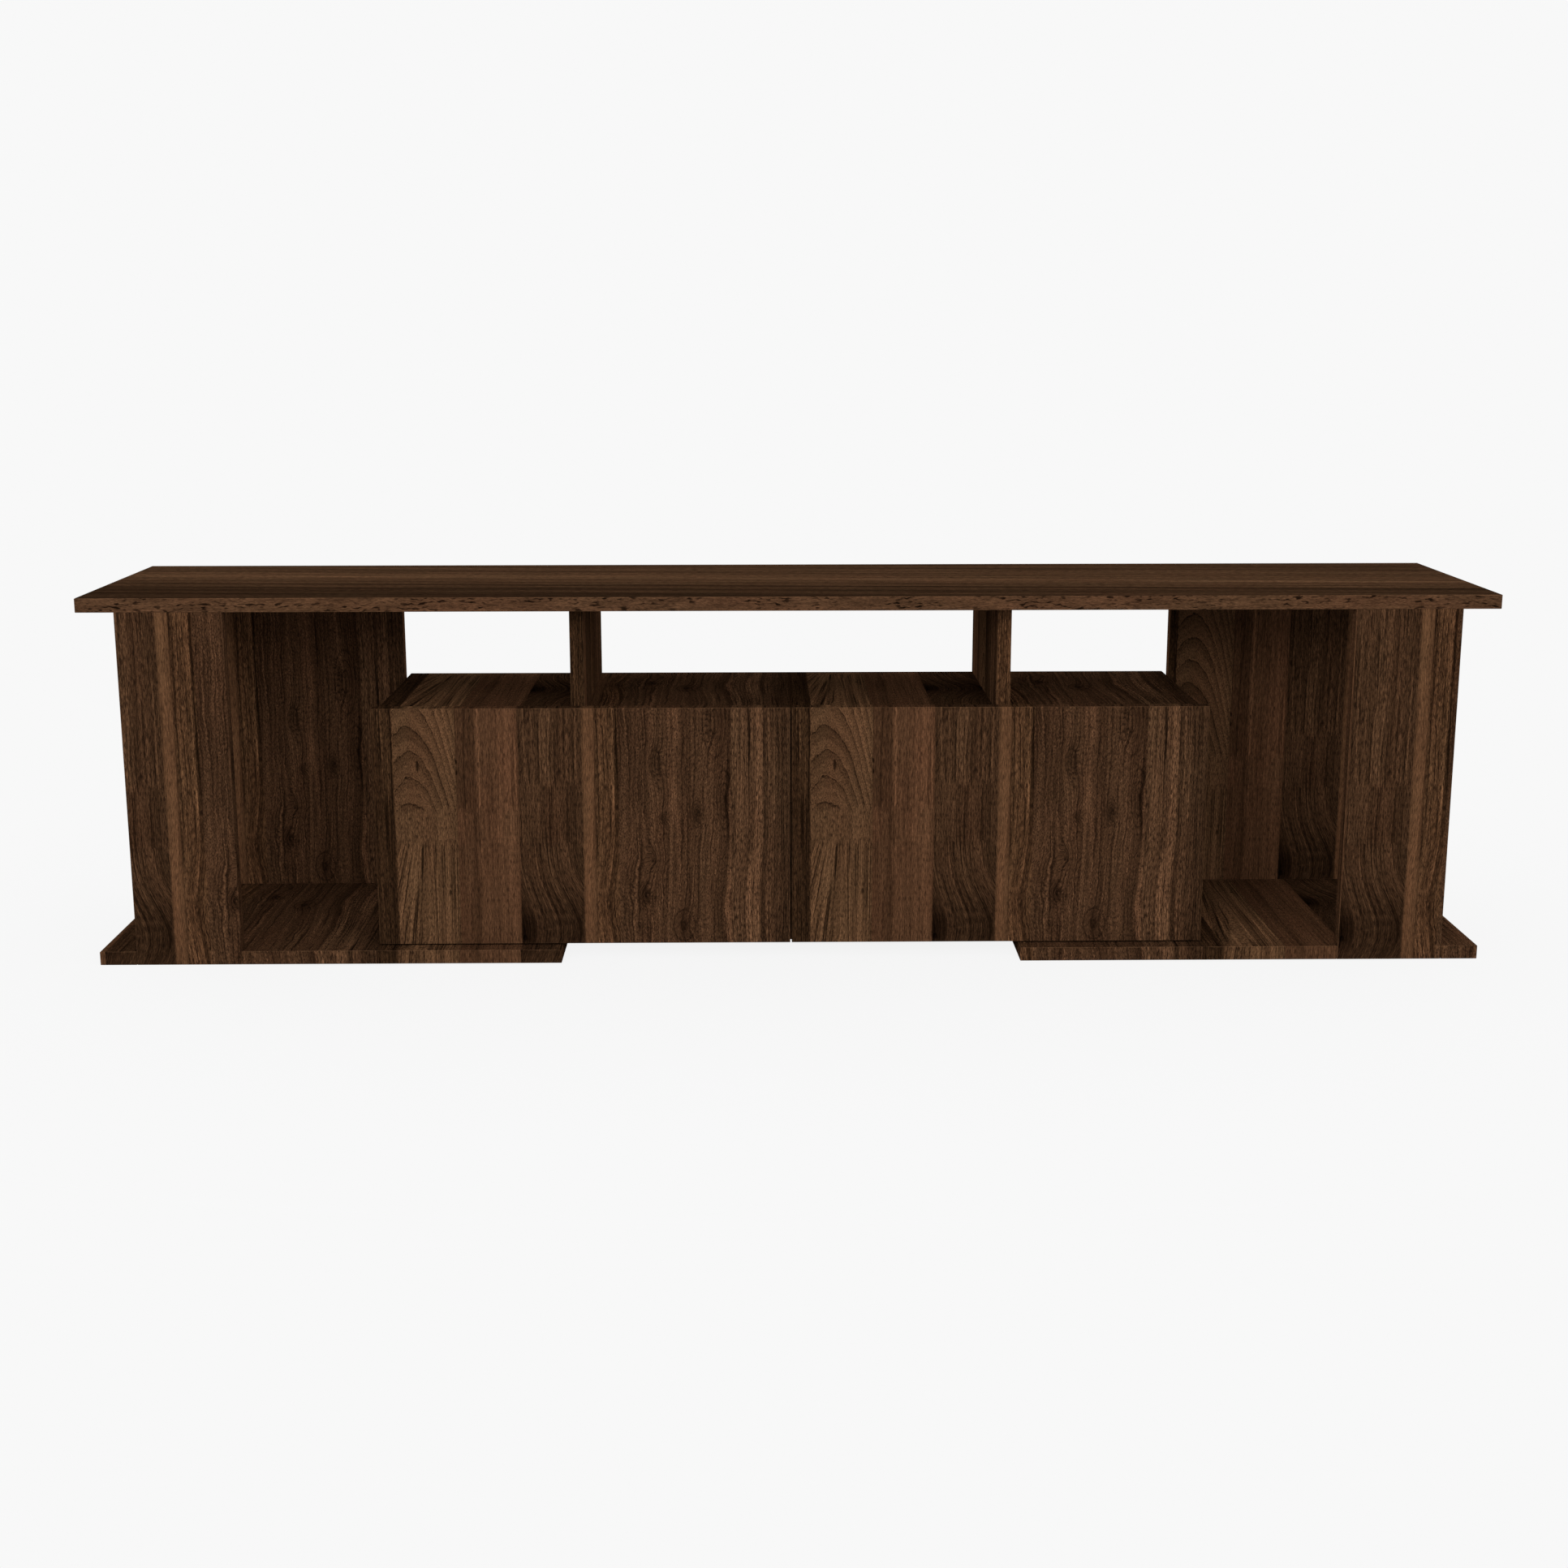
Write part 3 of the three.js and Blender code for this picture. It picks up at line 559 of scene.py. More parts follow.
def flame_field(w, across, up):
    """Nested parabolas: the height, plus the square of the distance from the middle line over the curve,
    scaled to millimetres across the flanks."""
    x = w.minus(across, FLAME_MIDDLE)
    arch = w.plus(up, w.over(w.squared(x), FLAME_CURVE))
    return w.times(w.plus(arch, ARCH_START), FLANK_SPACING / ARCH_HEIGHT)


def fanned_field(w, across, up):
    """Straight grain that fans out to the left below the joint: the distance from the fan's edge, over one
    plus the rate times the depth."""
    depth = w.maths("MAXIMUM", w.minus(LOWER_JOINT, up), 0.0)
    left = w.maths("MAXIMUM", w.minus(FAN_EDGE, across), 0.0)
    shrunk = w.over(left, w.plus(1.0, w.times(depth, FAN_RATE)))
    return w.plus(across, w.minus(left, shrunk))


def knot_field(w, across, up):
    """Grain that the knot pushes away and fans out: from the plank's left edge, less the push, over one
    plus the fan, both by a bell round the knot's height."""
    low, _ = plank_bounds("knotted")
    near = bell(w, up, KNOT_UP, KNOT_HALF_HEIGHT)
    x = w.minus(w.minus(across, low), w.times(near, KNOT_PUSH))
    return w.over(x, w.plus(1.0, w.times(near, KNOT_FAN)))


def new_print(name):
    """A print's node group, as its wiring and its inputs in millimetres."""
    group = bpy.data.node_groups.new(name, "ShaderNodeTree")
    face = group.interface
    for direction in ("Across", "Along"):
        face.new_socket(direction, in_out="INPUT", socket_type="NodeSocketFloat")
    face.new_socket("Colour", in_out="OUTPUT", socket_type="NodeSocketColor")
    face.new_socket("Height", in_out="OUTPUT", socket_type="NodeSocketFloat")
    w = Wiring(group)
    source = w.node("NodeGroupInput")
    across = w.over(source.outputs["Across"], MILLIMETRE)
    up = w.over(source.outputs["Along"], MILLIMETRE)
    return w, across, up


def finish_print(w, base, tone, across, up, seed, coarseness, length):
    """Ends a print and gives its group: fibres and open pores go over the tone, which then darkens the
    base colour. Both are stronger on coarser wood, and length is how long they are in millimetres."""
    settings = bpy.context.scene.walnut_settings
    fibres = swell(w, across, up, FIBRES._replace(length=length), seed)
    grit = swell(w, across, up, GRIT, seed)
    tone = w.times(tone, w.plus(FIBRE_TONE, w.times(w.plus(fibres, grit), coarseness)))
    pores = crests(w, across, up, PORES._replace(length=length), w.plus(seed, PORE_SEED))
    screen = w.maths("POWER", w.maths("MAXIMUM", tone, DARKEST_TONE), SCREEN_GAMMA)
    toned = w.blend_colours(1.0, base, w.grey(screen), mode="MULTIPLY")
    reddish = w.noise(w.joined(w.over(across, TINT_WIDTH), w.over(up, TINT_LENGTH), seed), detail=1.0)
    tint = w.blend_colours(reddish, GREEN_TINT, RED_TINT)
    toned = w.blend_colours(1.0, toned, tint, mode="MULTIPLY")
    holes = w.times(pores, w.times(coarseness, PORES.strength))
    out = w.node("NodeGroupOutput")
    w.feed(out.inputs["Colour"], w.blend_colours(holes, toned, opaque(settings.pore_colour)))
    w.feed(out.inputs["Height"], w.minus(1.0, pores))
    return w.tree


def find_spot(w, share, across, up):
    """What is known of a place. The planks' ends are staggered at the joints, and the flame's lines show
    least between its joints and most below them."""
    staggered = w.plus(up, swell(w, across, up, STAGGER, 0.0))
    joint = plank_value(w, share, "joint")
    jointed = w.maths("LESS_THAN", joint, JOINT_CEILING)
    above = w.maths("GREATER_THAN", staggered, joint)
    below = w.times(w.maths("LESS_THAN", staggered, LOWER_JOINT), jointed)

    flame = w.between(across, *plank_bounds("flame"))
    arches = w.times(flame, above)
    fan = w.times(flame, below)
    patch = w.minus(w.minus(flame, arches), fan)

    contrast = plank_value(w, share, "contrast")
    coarseness = w.plus(COARSE_LEAST, w.times(contrast, COARSE_RATE))
    coarseness = w.times(coarseness, w.blend(fan, 1.0, FAN_COARSENESS))
    coarseness = w.times(coarseness, w.blend(arches, 1.0, ARCH_COARSENESS))
    contrast = w.blend(fan, contrast, FAN_CONTRAST)
    contrast = w.blend(patch, contrast, PATCH_CONTRAST)

    step = w.maths("FLOOR", w.times(plank_value(w, share, "start"), SEED_RATE))
    extra = w.plus(w.times(above, ABOVE_SEED), w.times(below, BELOW_SEED))
    seed = w.plus(w.times(step, SEED_STEP), extra)
    colour = w.ramp(share, [(share_of(plank.start), plank.colour) for plank in PLANKS], "CONSTANT")
    swirl = plank_value(w, share, "swirl")
    knotted = w.between(across, *plank_bounds("knotted"))
    return Spot(
        across, up, colour, contrast, coarseness, swirl, seed, jointed, above, arches, fan, knotted)


def grain_drift(w, spot):
    """How far the grain wanders sideways, with turns and shakes that are wider where it swirls."""
    wander = swell(w, spot.across, spot.up, WANDER, spot.seed)
    drift = 0.0
    for layer in (TURNS, SHAKES):
        noise = grain_noise(w, spot.across, spot.up, layer, spot.seed)
        drift = w.plus(drift, w.times(noise, w.times(spot.swirl, layer.strength)))
    return w.plus(wander, drift)


def line_fields(w, spot, pushed, drift, parted):
    """How far across the grain a place lies, and the field whose contours the lines follow. They differ
    only in the flame's arches."""
    grain = w.plus(spot.across, w.plus(pushed, drift))
    fanned = w.plus(fanned_field(w, spot.across, spot.up), w.times(drift, FAN_DRIFT))
    grain = w.blend(spot.fan, grain, fanned)
    grain = w.blend(spot.knotted, grain, w.plus(parted, w.times(drift, KNOT_DRIFT)))
    shaken = w.plus(w.times(drift, ARCH_DRIFT), swell(w, spot.across, spot.up, ARCH_SHAKES, ARCH_SEED))
    arched = w.plus(flame_field(w, spot.across, spot.up), shaken)
    return grain, w.blend(spot.arches, grain, arched)


def tone_ramp(w, share, tones):
    """The number that a tone table has at the share of the tile, over the highest tone."""
    return grey_ramp(w, share, [(share_of(place), tone / TONE_TOP) for place, tone in tones], "LINEAR")


def streak_tone(w, spot, bend):
    """Tone of the tile's streaks, which bend between BENT_FROM and BENT_TO."""
    settings = bpy.context.scene.walnut_settings
    source = w.plus(spot.across, w.times(bend, w.between(spot.across, BENT_FROM, BENT_TO)))
    share = w.over(source, settings.tile_width / MILLIMETRE)
    upper_share = w.blend(spot.jointed, w.smooth(spot.up, LOWER_JOINT, UPPER_START), spot.above)
    streak = w.blend(upper_share, tone_ramp(w, share, LOWER_TONES), tone_ramp(w, share, UPPER_TONES))
    is_shared = w.maths("GREATER_THAN", share, share_of(SHARED_TONES[0][0]))
    return w.times(w.blend(is_shared, streak, tone_ramp(w, share, SHARED_TONES)), TONE_TOP)


def line_tone(w, spot, field):
    """What the lines add to a tone of 1: broad and middling ones, and thin dark and pale ones on the crests
    of noise. All but the broad ones are fainter in the arches."""
    broad = swell(w, field, spot.up, BROAD_LINES, spot.seed)
    middling = swell(w, field, spot.up, MIDDLE_LINES, spot.seed)
    dark = crests(w, field, spot.up, DARK_LINES, spot.seed)
    pale = crests(w, field, spot.up, PALE_LINES, w.plus(spot.seed, PALE_SEED))
    thin = w.minus(w.times(pale, PALE_LINES.strength), w.times(dark, DARK_LINES.strength))
    fainter = w.blend(spot.arches, spot.contrast, ARCH_CONTRAST)
    return w.plus(w.times(broad, spot.contrast), w.times(w.plus(middling, thin), fainter))


def figure_shade(w, spot, shade):
    """Shade of the figures with their fine rings, on planks without joints."""
    ring = w.smooth(w.maths("FRACT", w.over(shade, SHADE_STEP)), *SHADE_RING_EDGE)
    ring = w.times(ring, w.smooth(shade, SHADE_RING_START * SHADE_STEP, SHADE_STEP, 0.0, SHADE_RING))
    return w.times(w.plus(shade, ring), w.minus(1.0, spot.jointed))


def ring_shade(w, spot, field):
    """Shade of the flame's growth rings: each darkens towards a dotted line and then starts light again."""
    dots = swell(w, spot.across, spot.up, RING_DOTS, spot.seed)
    place = w.maths("FRACT", w.over(field, FLANK_SPACING))
    band = w.times(w.smooth(place, *RING_BAND_EDGE), RING_BAND)
    line = w.times(w.smooth(place, *RING_LINE_EDGE), w.plus(RING_LINE, dots))
    ring = w.times(w.plus(band, line), w.smooth(place, *RING_END_EDGE))
    return w.times(ring, spot.arches)


def knot_tone(w, spot, parted, tone):
    """The tone with the knot's dark heart and the pale streaks beside it."""
    heart = w.times(w.smooth(parted, *HEART_EDGE), bell(w, spot.up, KNOT_UP, HEART_HALF_HEIGHT))
    near = bell(w, spot.up, KNOT_UP, KNOT_HALF_HEIGHT)
    darker = w.plus(w.times(heart, HEART_SHADE), w.times(near, KNOT_SHADE))
    tone = w.times(tone, w.minus(1.0, w.times(darker, spot.knotted)))
    for height, half_thickness, end in KNOT_STREAKS:
        streak = w.times(bell(w, spot.up, height, half_thickness), spot.knotted)
        reach = w.times(w.smooth(parted, *STREAK_EDGE), w.smooth(spot.across, end, end - STREAK_FADE))
        tone = w.plus(tone, w.times(w.times(streak, reach), STREAK_TONE))
    return tone


def plank_print():
    """A node group that turns a place on a board, across and along the grain in metres, into the
    laminate's colour and height. The lines are the contours of one field, which the flame, the knot and
    the eyes bend."""
    settings = bpy.context.scene.walnut_settings
    w, across, up = new_print("walnut_planks")
    tile = settings.tile_width / MILLIMETRE
    share = w.maths("FRACT", w.over(across, tile))
    spot = find_spot(w, share, w.times(share, tile), up)
    place = w.joined(spot.across, up)

    pushed, shade = figure_bends(w, place)
    drift = grain_drift(w, spot)
    parted = knot_field(w, spot.across, up)
    grain, field = line_fields(w, spot, pushed, drift, parted)

    tone = streak_tone(w, spot, w.plus(pushed, drift))
    tone = w.times(tone, w.plus(1.0, line_tone(w, spot, field)))
    tone = w.times(tone, w.minus(1.0, figure_shade(w, spot, shade)))
    tone = w.times(tone, w.minus(1.0, ring_shade(w, spot, field)))
    tone = knot_tone(w, spot, parted, tone)
    tone = w.times(tone, w.minus(1.0, w.times(pin_knots(w, place), PIN_KNOT_SHADE)))
    straight_length = w.over(FIBRE_LENGTH, w.plus(1.0, spot.swirl))
    length = w.blend(spot.arches, straight_length, ARCH_FIBRE_LENGTH)
    return finish_print(w, spot.colour, tone, grain, up, spot.seed, spot.coarseness, length)


# Top board: tone against the distance from the back edge, measured across its slightly sloping grain
TOP_SLOPE = 0.055
TOP_TONES = (
    (-50, 0.96), (0, 0.92), (22, 1.00), (40, 0.90), (62, 1.00), (95, 0.98), (125, 1.03), (150, 1.12),
    (168, 1.20), (180, 1.14), (192, 1.00), (215, 0.99), (236, 0.92), (250, 0.70), (258, 0.88),
    (280, 0.84), (292, 0.68), (300, 0.82), (325, 0.76), (345, 0.64), (360, 0.74), (405, 0.68),
)
TOP_START = TOP_TONES[0][0]
TOP_SPAN = TOP_TONES[-1][0] - TOP_START
TOP_COLOUR = srgb(71, 50, 34)
TOP_COARSENESS = 0.8
# Its noise: two layers that move the streaks sideways, and three of lines
TOP_BENDS = (Layer(60.0, 420.0, 16.0), Layer(14.0, 90.0, 5.0))
TOP_LINES = (
    Layer(16.0, 1500.0, 0.50),
    Layer(5.0, 500.0, 0.80, detail=2.0),
    Layer(1.8, 130.0, 0.70, detail=2.0),
)


def lengthwise_print():
    """A node group like the planks' one, for one wide board whose streaks run its whole length."""
    w, across, up = new_print("walnut_lengthwise")
    across = w.minus(0.0, across)
    bends = [swell(w, across, up, layer, TOP_SEED) for layer in TOP_BENDS]
    field = w.plus(across, w.plus(*bends))
    stops = [((place - TOP_START) / TOP_SPAN, tone / TONE_TOP) for place, tone in TOP_TONES]
    streak = grey_ramp(w, w.over(w.minus(field, TOP_START), TOP_SPAN), stops, "LINEAR")
    broad, middling, narrow = [swell(w, field, up, layer, TOP_SEED) for layer in TOP_LINES]
    lines = w.plus(1.0, w.plus(broad, w.plus(middling, narrow)))
    tone = w.times(w.times(streak, TONE_TOP), lines)
    return finish_print(w, opaque(TOP_COLOUR), tone, field, up, TOP_SEED, TOP_COARSENESS, FIBRE_LENGTH)


# Edging of the top board: a mottled ground, and wavy flecks that are darker where they crowd
EDGING_COLOUR = srgb(78, 54, 37)
EDGING_COARSENESS = 0.5
EDGING_FIBRE_LENGTH = 5.0
EDGING_TONE = 1.02
EDGING_GROUND = Layer(9.0, 60.0, 0.55, detail=2.0)
EDGING_STREAKS = Layer(1.6, 26.0, 0.60, detail=2.0)
FLECK_WAVES = Layer(8.0, 9.0, 4.0, detail=1.5)
FLECKS = Layer(2.8, 12.0, edge=(0.03, 0.16))
FLECK_CROWDS = Layer(11.0, 55.0, edge=(-0.12, 0.14))
FLECK_SHADES = (0.10, 0.62)


def edging_print():
    """A node group for the top board's edging: short flecks along the edge on a mottled ground."""
    w, across, up = new_print("walnut_edging")
    ground = swell(w, across, up, EDGING_GROUND, EDGING_SEED)
    streaks = swell(w, across, up, EDGING_STREAKS, EDGING_SEED)
    wavy = w.plus(across, swell(w, across, up, FLECK_WAVES, EDGING_SEED + 1))
    flecks = crests(w, wavy, up, FLECKS, EDGING_SEED + 2)
    crowded = crests(w, across, up, FLECK_CROWDS, EDGING_SEED + 3, *FLECK_SHADES)
    flecks = w.times(flecks, crowded)
    tone = w.times(w.plus(EDGING_TONE, w.plus(ground, streaks)), w.minus(1.0, flecks))
    return finish_print(
        w, opaque(EDGING_COLOUR), tone, across, up, EDGING_SEED, EDGING_COARSENESS, EDGING_FIBRE_LENGTH)


# Lightening of the arrises, partly wear of the foil and partly a painted highlight along the edges: how far
# in it reaches, in metres, the share of that which is fully lightened, its patches to the metre, the noise
# at which they start and are full, and the lightening between them and on them
ARRIS_WIDTH = 0.0012
ARRIS_CORE = 0.25
SCUFF_SCALE = 45.0
SCUFF_EDGE = (0.35, 0.70)
SCUFF_SHARES = (0.04, 0.34)


def arris_wear_and_highlight_share(w, place, node):
    """1 on the arrises of a board, and 0 from ARRIS_WIDTH inwards. The distance to the nearest arris is
    the second smallest of the distances, along X, Y and Z, to the faces of the board's box."""
    low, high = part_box(node)
    inside = []
    for axis, start, end in zip("xyz", low, high):
        offset = w.maths("ABSOLUTE", w.minus(place[axis], (start + end) / 2))
        inside.append(w.minus((end - start) / 2, offset))
    nearer = w.maths("MINIMUM", inside[0], inside[1])
    further = w.maths("MAXIMUM", inside[0], inside[1])
    second = w.maths("MAXIMUM", nearer, w.maths("MINIMUM", further, inside[2]))
    return w.smooth(second, ARRIS_CORE * ARRIS_WIDTH, ARRIS_WIDTH, 1.0, 0.0)


# Hardboard's mottling: noise grains to the metre, detail, distortion and share of the whole, for each of
# its sizes. It turns from dark to pale between the two values of MOTTLE_EDGE.
PRESSED_FIBRES = (900.0, 3.0, 0.6, 0.5)
CLUMPS = (140.0, 2.0, 0.0, 0.3)
CLOUDS = (9.0, 1.0, 0.0, 0.2)
MOTTLE_EDGE = (0.36, 0.64)
DARK_MOTTLE = 0.62
PALE_MOTTLE = 1.30


def hardboard_print(w, vector):
    """The bare back of hardboard, mottled in three sizes, and the height of the last, its fibres."""
    settings = bpy.context.scene.walnut_settings
    mottled = 0.0
    for scale, detail, distortion, part in (CLOUDS, CLUMPS, PRESSED_FIBRES):
        height = w.noise(vector, detail, scale, distortion)
        mottled = w.plus(w.times(height, part), mottled)
    dark = opaque(shaded(settings.hardboard, DARK_MOTTLE))
    pale = opaque(shaded(settings.hardboard, PALE_MOTTLE))
    return w.blend_colours(w.smooth(mottled, *MOTTLE_EDGE), dark, pale), height


# The axis across the grain and the axis along it, for faces that look along X, Y and Z in turn
UPRIGHT = (("y", "z"), ("x", "z"), ("x", "y"))
LENGTHWISE = (("y", "x"), ("z", "x"), ("y", "x"))
# A face looks along an axis where its normal has more than this share of it.
FACING = 0.8
PORE_BUMP = 0.5


def board_material(node, group, grain, shift=0.0, slope=0.0, edge_group=None, bare_back=False):
    """Walnut for one board. grain is UPRIGHT or LENGTHWISE, shift moves the print across, and slope is how
    far the grain leans across for each unit along. Edges take their own print where one is given, and a
    bare back shows its hardboard on the faces that look backwards."""
    settings = bpy.context.scene.walnut_settings
    material, w = new_material(f"walnut_{node}")
    coordinates = w.node("ShaderNodeTexCoord")
    vector = coordinates.outputs["Object"]
    normal = coordinates.outputs["Normal"]
    place = dict(zip("xyz", w.parted(vector)))
    facing = w.parted(w.vectors("ABSOLUTE", normal))
    looks_sideways = w.maths("GREATER_THAN", facing[0], FACING)
    looks_up = w.maths("GREATER_THAN", facing[2], FACING)

    def pick(position):
        chosen = w.blend(looks_sideways, place[grain[1][position]], place[grain[0][position]])
        return w.blend(looks_up, chosen, place[grain[2][position]])

    along = pick(1)
    across = w.plus(pick(0), shift)
    if slope:
        across = w.plus(across, w.times(along, slope))
    printed = w.node("ShaderNodeGroup", node_tree=group)
    w.feed(printed.inputs["Across"], across)
    w.feed(printed.inputs["Along"], along)
    colour = printed.outputs["Colour"]
    height = printed.outputs["Height"]
    if edge_group is None:
        # Painted shade: flat faces are drawn darker than upright ones
        painted_shade_factor = w.blend(looks_up, 1.0, settings.painted_flat_shade)
        colour = w.blend_colours(1.0, colour, w.grey(painted_shade_factor), mode="MULTIPLY")
    else:
        edge = w.node("ShaderNodeGroup", node_tree=edge_group)
        w.feed(edge.inputs["Across"], place["z"])
        w.feed(edge.inputs["Along"], w.blend(looks_sideways, place["x"], place["y"]))
        colour = w.blend_colours(looks_up, edge.outputs["Colour"], colour)
    if bare_back:
        looks_back = w.maths("GREATER_THAN", w.parted(normal)[1], FACING)
        fibre_colour, fibres = hardboard_print(w, vector)
        colour = w.blend_colours(looks_back, colour, fibre_colour)
        height = w.blend(looks_back, height, fibres)
    # The arrises are drawn lighter in patches: partly wear of the foil, partly a painted highlight along the
    # edges
    scuffs = w.noise(vector, detail=2.0, scale=SCUFF_SCALE)
    edge_wear_and_highlight = w.times(arris_wear_and_highlight_share(w, place, node), w.smooth(scuffs, *SCUFF_EDGE, *SCUFF_SHARES))
    colour = w.blend_colours(edge_wear_and_highlight, colour, opaque(settings.worn_and_highlit_edge_colour))
    rough = w.blend(height, 1.0, settings.roughness)
    embossed = bumped(w, height, settings.pore_depth, PORE_BUMP)
    surface(w, colour, rough, settings.specular, 0.0, embossed)
    return material


def assign(node, material):
    """Makes this the only material of a CAD node."""
    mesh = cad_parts[node].data
    mesh.materials.clear()
    mesh.materials.append(material)


# What lies at each board's left edge: how far across the tile, in metres
BOARD_STARTS = {
    "door_left": 0.0,
    "door_right": 0.0025,
    "column_panel_left": 0.2195,
    "column_panel_right": 0.1860,
    "rear_panel_left": 0.220,
    "rear_panel_right": 0.015,
    "cabinet_top": 0.0,
    "cabinet_bottom": 0.11,
    "cabinet_side_left": 0.30,
    "cabinet_side_right": 0.45,
    "cabinet_divider": 0.05,
    "post_left": 0.004,
    "post_right": 0.292,
}


class TVUNIT_OT_finish_boards(bpy.types.Operator):
    """Gives every board its walnut print, with the grain along the board and the planks in place"""

    bl_idname = "tvunit.finish_boards"
    bl_label = "Finish boards"

    def execute(self, context):
        planks = plank_print()
        lengthwise = lengthwise_print()
        edging = edging_print()
        shifts = {node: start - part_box(node)[0].x for node, start in BOARD_STARTS.items()}
        for hand in HANDS:
            shifts[f"base_board_{hand}"] = -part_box("cabinet_top")[0].x
        for node, shift in shifts.items():
            assign(node, board_material(node, planks, UPRIGHT, shift))
        shift = -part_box("cabinet_back")[0].x
        assign("cabinet_back", board_material(
            "cabinet_back", planks, UPRIGHT, shift, bare_back=True))
        # The top board's print is measured from its back edge towards the front
        assign("top_board", board_material(
            "top_board", lengthwise, LENGTHWISE, -cad_high.y, TOP_SLOPE, edging))
        return {"FINISHED"}


# Fittings

# A finish: how rough it is and how far that changes, its specular level, 1 for metal, how dark its patches
# get, noise grains to the metre in its relief and patches, and the relief's depth in metres and strength
Finish = namedtuple("Finish", "roughness spread specular metallic dark relief patches depth strength")
NICKEL = Finish(
    roughness=0.36, spread=0.2, specular=0.5, metallic=1.0, dark=0.8, relief=(900.0, 900.0, 60.0),
    patches=(80.0,) * 3, depth=0.00002, strength=0.3)
ZINC = NICKEL._replace(roughness=0.42)
PLASTIC = Finish(
    roughness=0.5, spread=0.1, specular=0.35, metallic=0.0, dark=0.75, relief=(1600.0,) * 3,
    patches=(1600.0,) * 3, depth=0.00003, strength=0.4)
RUBBER = PLASTIC._replace(roughness=0.65)


def fitting_material(name, colour, finish):
    """Plated steel with drawing lines along Z, or plastic or rubber with the spark-eroded grain of its
    mould. This relief also changes the gloss."""
    material, w = new_material(name)
    vector = w.node("ShaderNodeTexCoord").outputs["Object"]
    relief = w.noise(w.vectors("MULTIPLY", vector, finish.relief), detail=2.0)
    patches = w.noise(w.vectors("MULTIPLY", vector, finish.patches), detail=2.0)
    tone = w.blend_colours(patches, opaque(colour), opaque(shaded(colour, finish.dark)))
    rough = w.plus(finish.roughness, w.times(w.minus(relief, 0.5), finish.spread))
    embossed = bumped(w, relief, finish.depth, finish.strength)
    surface(w, tone, rough, finish.specular, finish.metallic, embossed)
    return material


# Small steel pieces that are zinc-plated like the hinge pins
ZINC_PIECES = ("wing_screw", "catch_magnet", "strike_plate", "column_cam", "column_bolt",
               "cabinet_screw", "panel_screw")


class TVUNIT_OT_finish_fittings(bpy.types.Operator):
    """Gives hinges, pins, screws, catches and bumpers their metals, plastic and rubber"""

    bl_idname = "tvunit.finish_fittings"
    bl_label = "Finish fittings"

    def execute(self, context):
        settings = context.scene.fitting_settings
        finishes = {
            "hinge_cup": fitting_material("nickel_plate", settings.nickel, NICKEL),
            "hinge_pin": fitting_material("zinc_plate", settings.zinc, ZINC),
            "catch_housing": fitting_material("brown_plastic", settings.plastic, PLASTIC),
            "bumper": fitting_material("grey_rubber", settings.rubber, RUBBER),
        }
        finishes["hinge_wing"] = finishes["hinge_cup"]
        for piece in ZINC_PIECES:
            finishes[piece] = finishes["hinge_pin"]
        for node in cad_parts:
            for piece, material in finishes.items():
                if node.startswith(piece):
                    assign(node, material)
        return {"FINISHED"}


# Stage

# The camera stands where the photograph's did, as worked out from the boards' edges.
CAMERA_PLACE = Vector((-0.04342, -2.83014, 0.82515))
CAMERA_TILT = math.radians(90 - 12.4705)
CAMERA_TURN = math.radians(-0.7355)
CAMERA_ROLL = math.radians(-0.0586)

# A lamp's place, width, height and the setting with its power. All are turned to LIT_PLACE.
Lamp = namedtuple("Lamp", "place width height power")
LIT_PLACE = (0.0, 0.0, 0.25)
LAMPS = {
    "key_lamp": Lamp((-0.2, -3.4, 1.9), 6.0, 1.6, "key_power"),
    "top_lamp": Lamp((0.0, 0.0, 3.2), 4.0, 3.0, "top_power"),
    "rear_lamp": Lamp((0.4, 3.6, 0.75), 5.0, 1.0, "rear_power"),
    "side_lamp_left": Lamp((-3.6, 0.25, 0.7), 2.4, 1.0, "side_power"),
    "side_lamp_right": Lamp((3.6, 0.25, 0.7), 2.4, 1.0, "side_power"),
}

# Floor: light bounces off it as off BOUNCE_GREY, while the camera sees it turn from GLOW_NEAR of the
# backdrop to all of it between two distances, which FLOOR_STRETCH lengthens along the unit.
BOUNCE_GREY = 0.45
FADE_EDGE = (0.45, 1.0)
GLOW_NEAR = 0.93
FLOOR_STRETCH = 0.6


def make_camera(settings):
    """The camera at the photograph's place, turned about Z, tilted down and rolled about its own axis."""
    data = bpy.data.cameras.new("camera")
    data.sensor_width = 36.0
    data.lens = settings.focal_length
    camera = bpy.data.objects.new("camera", data)
    turned = Matrix.Rotation(CAMERA_TURN, 4, "Z") @ Matrix.Rotation(CAMERA_TILT, 4, "X")
    camera.matrix_world = (
        Matrix.Translation(CAMERA_PLACE) @ turned @ Matrix.Rotation(CAMERA_ROLL, 4, "Z"))
    bpy.context.scene.collection.objects.link(camera)
    bpy.context.scene.camera = camera


def make_lamp(name, lamp, power):
    """A soft lamp that faces the middle of the unit."""
    data = bpy.data.lights.new(name, "AREA")
    data.shape = "RECTANGLE"
    data.size = lamp.width
    data.size_y = lamp.height
    data.energy = power
    made = bpy.data.objects.new(name, data)
    made.location = lamp.place
    made.rotation_mode = "QUATERNION"
    made.rotation_quaternion = (Vector(LIT_PLACE) - Vector(lamp.place)).to_track_quat("-Z", "Y")
    bpy.context.scene.collection.objects.link(made)


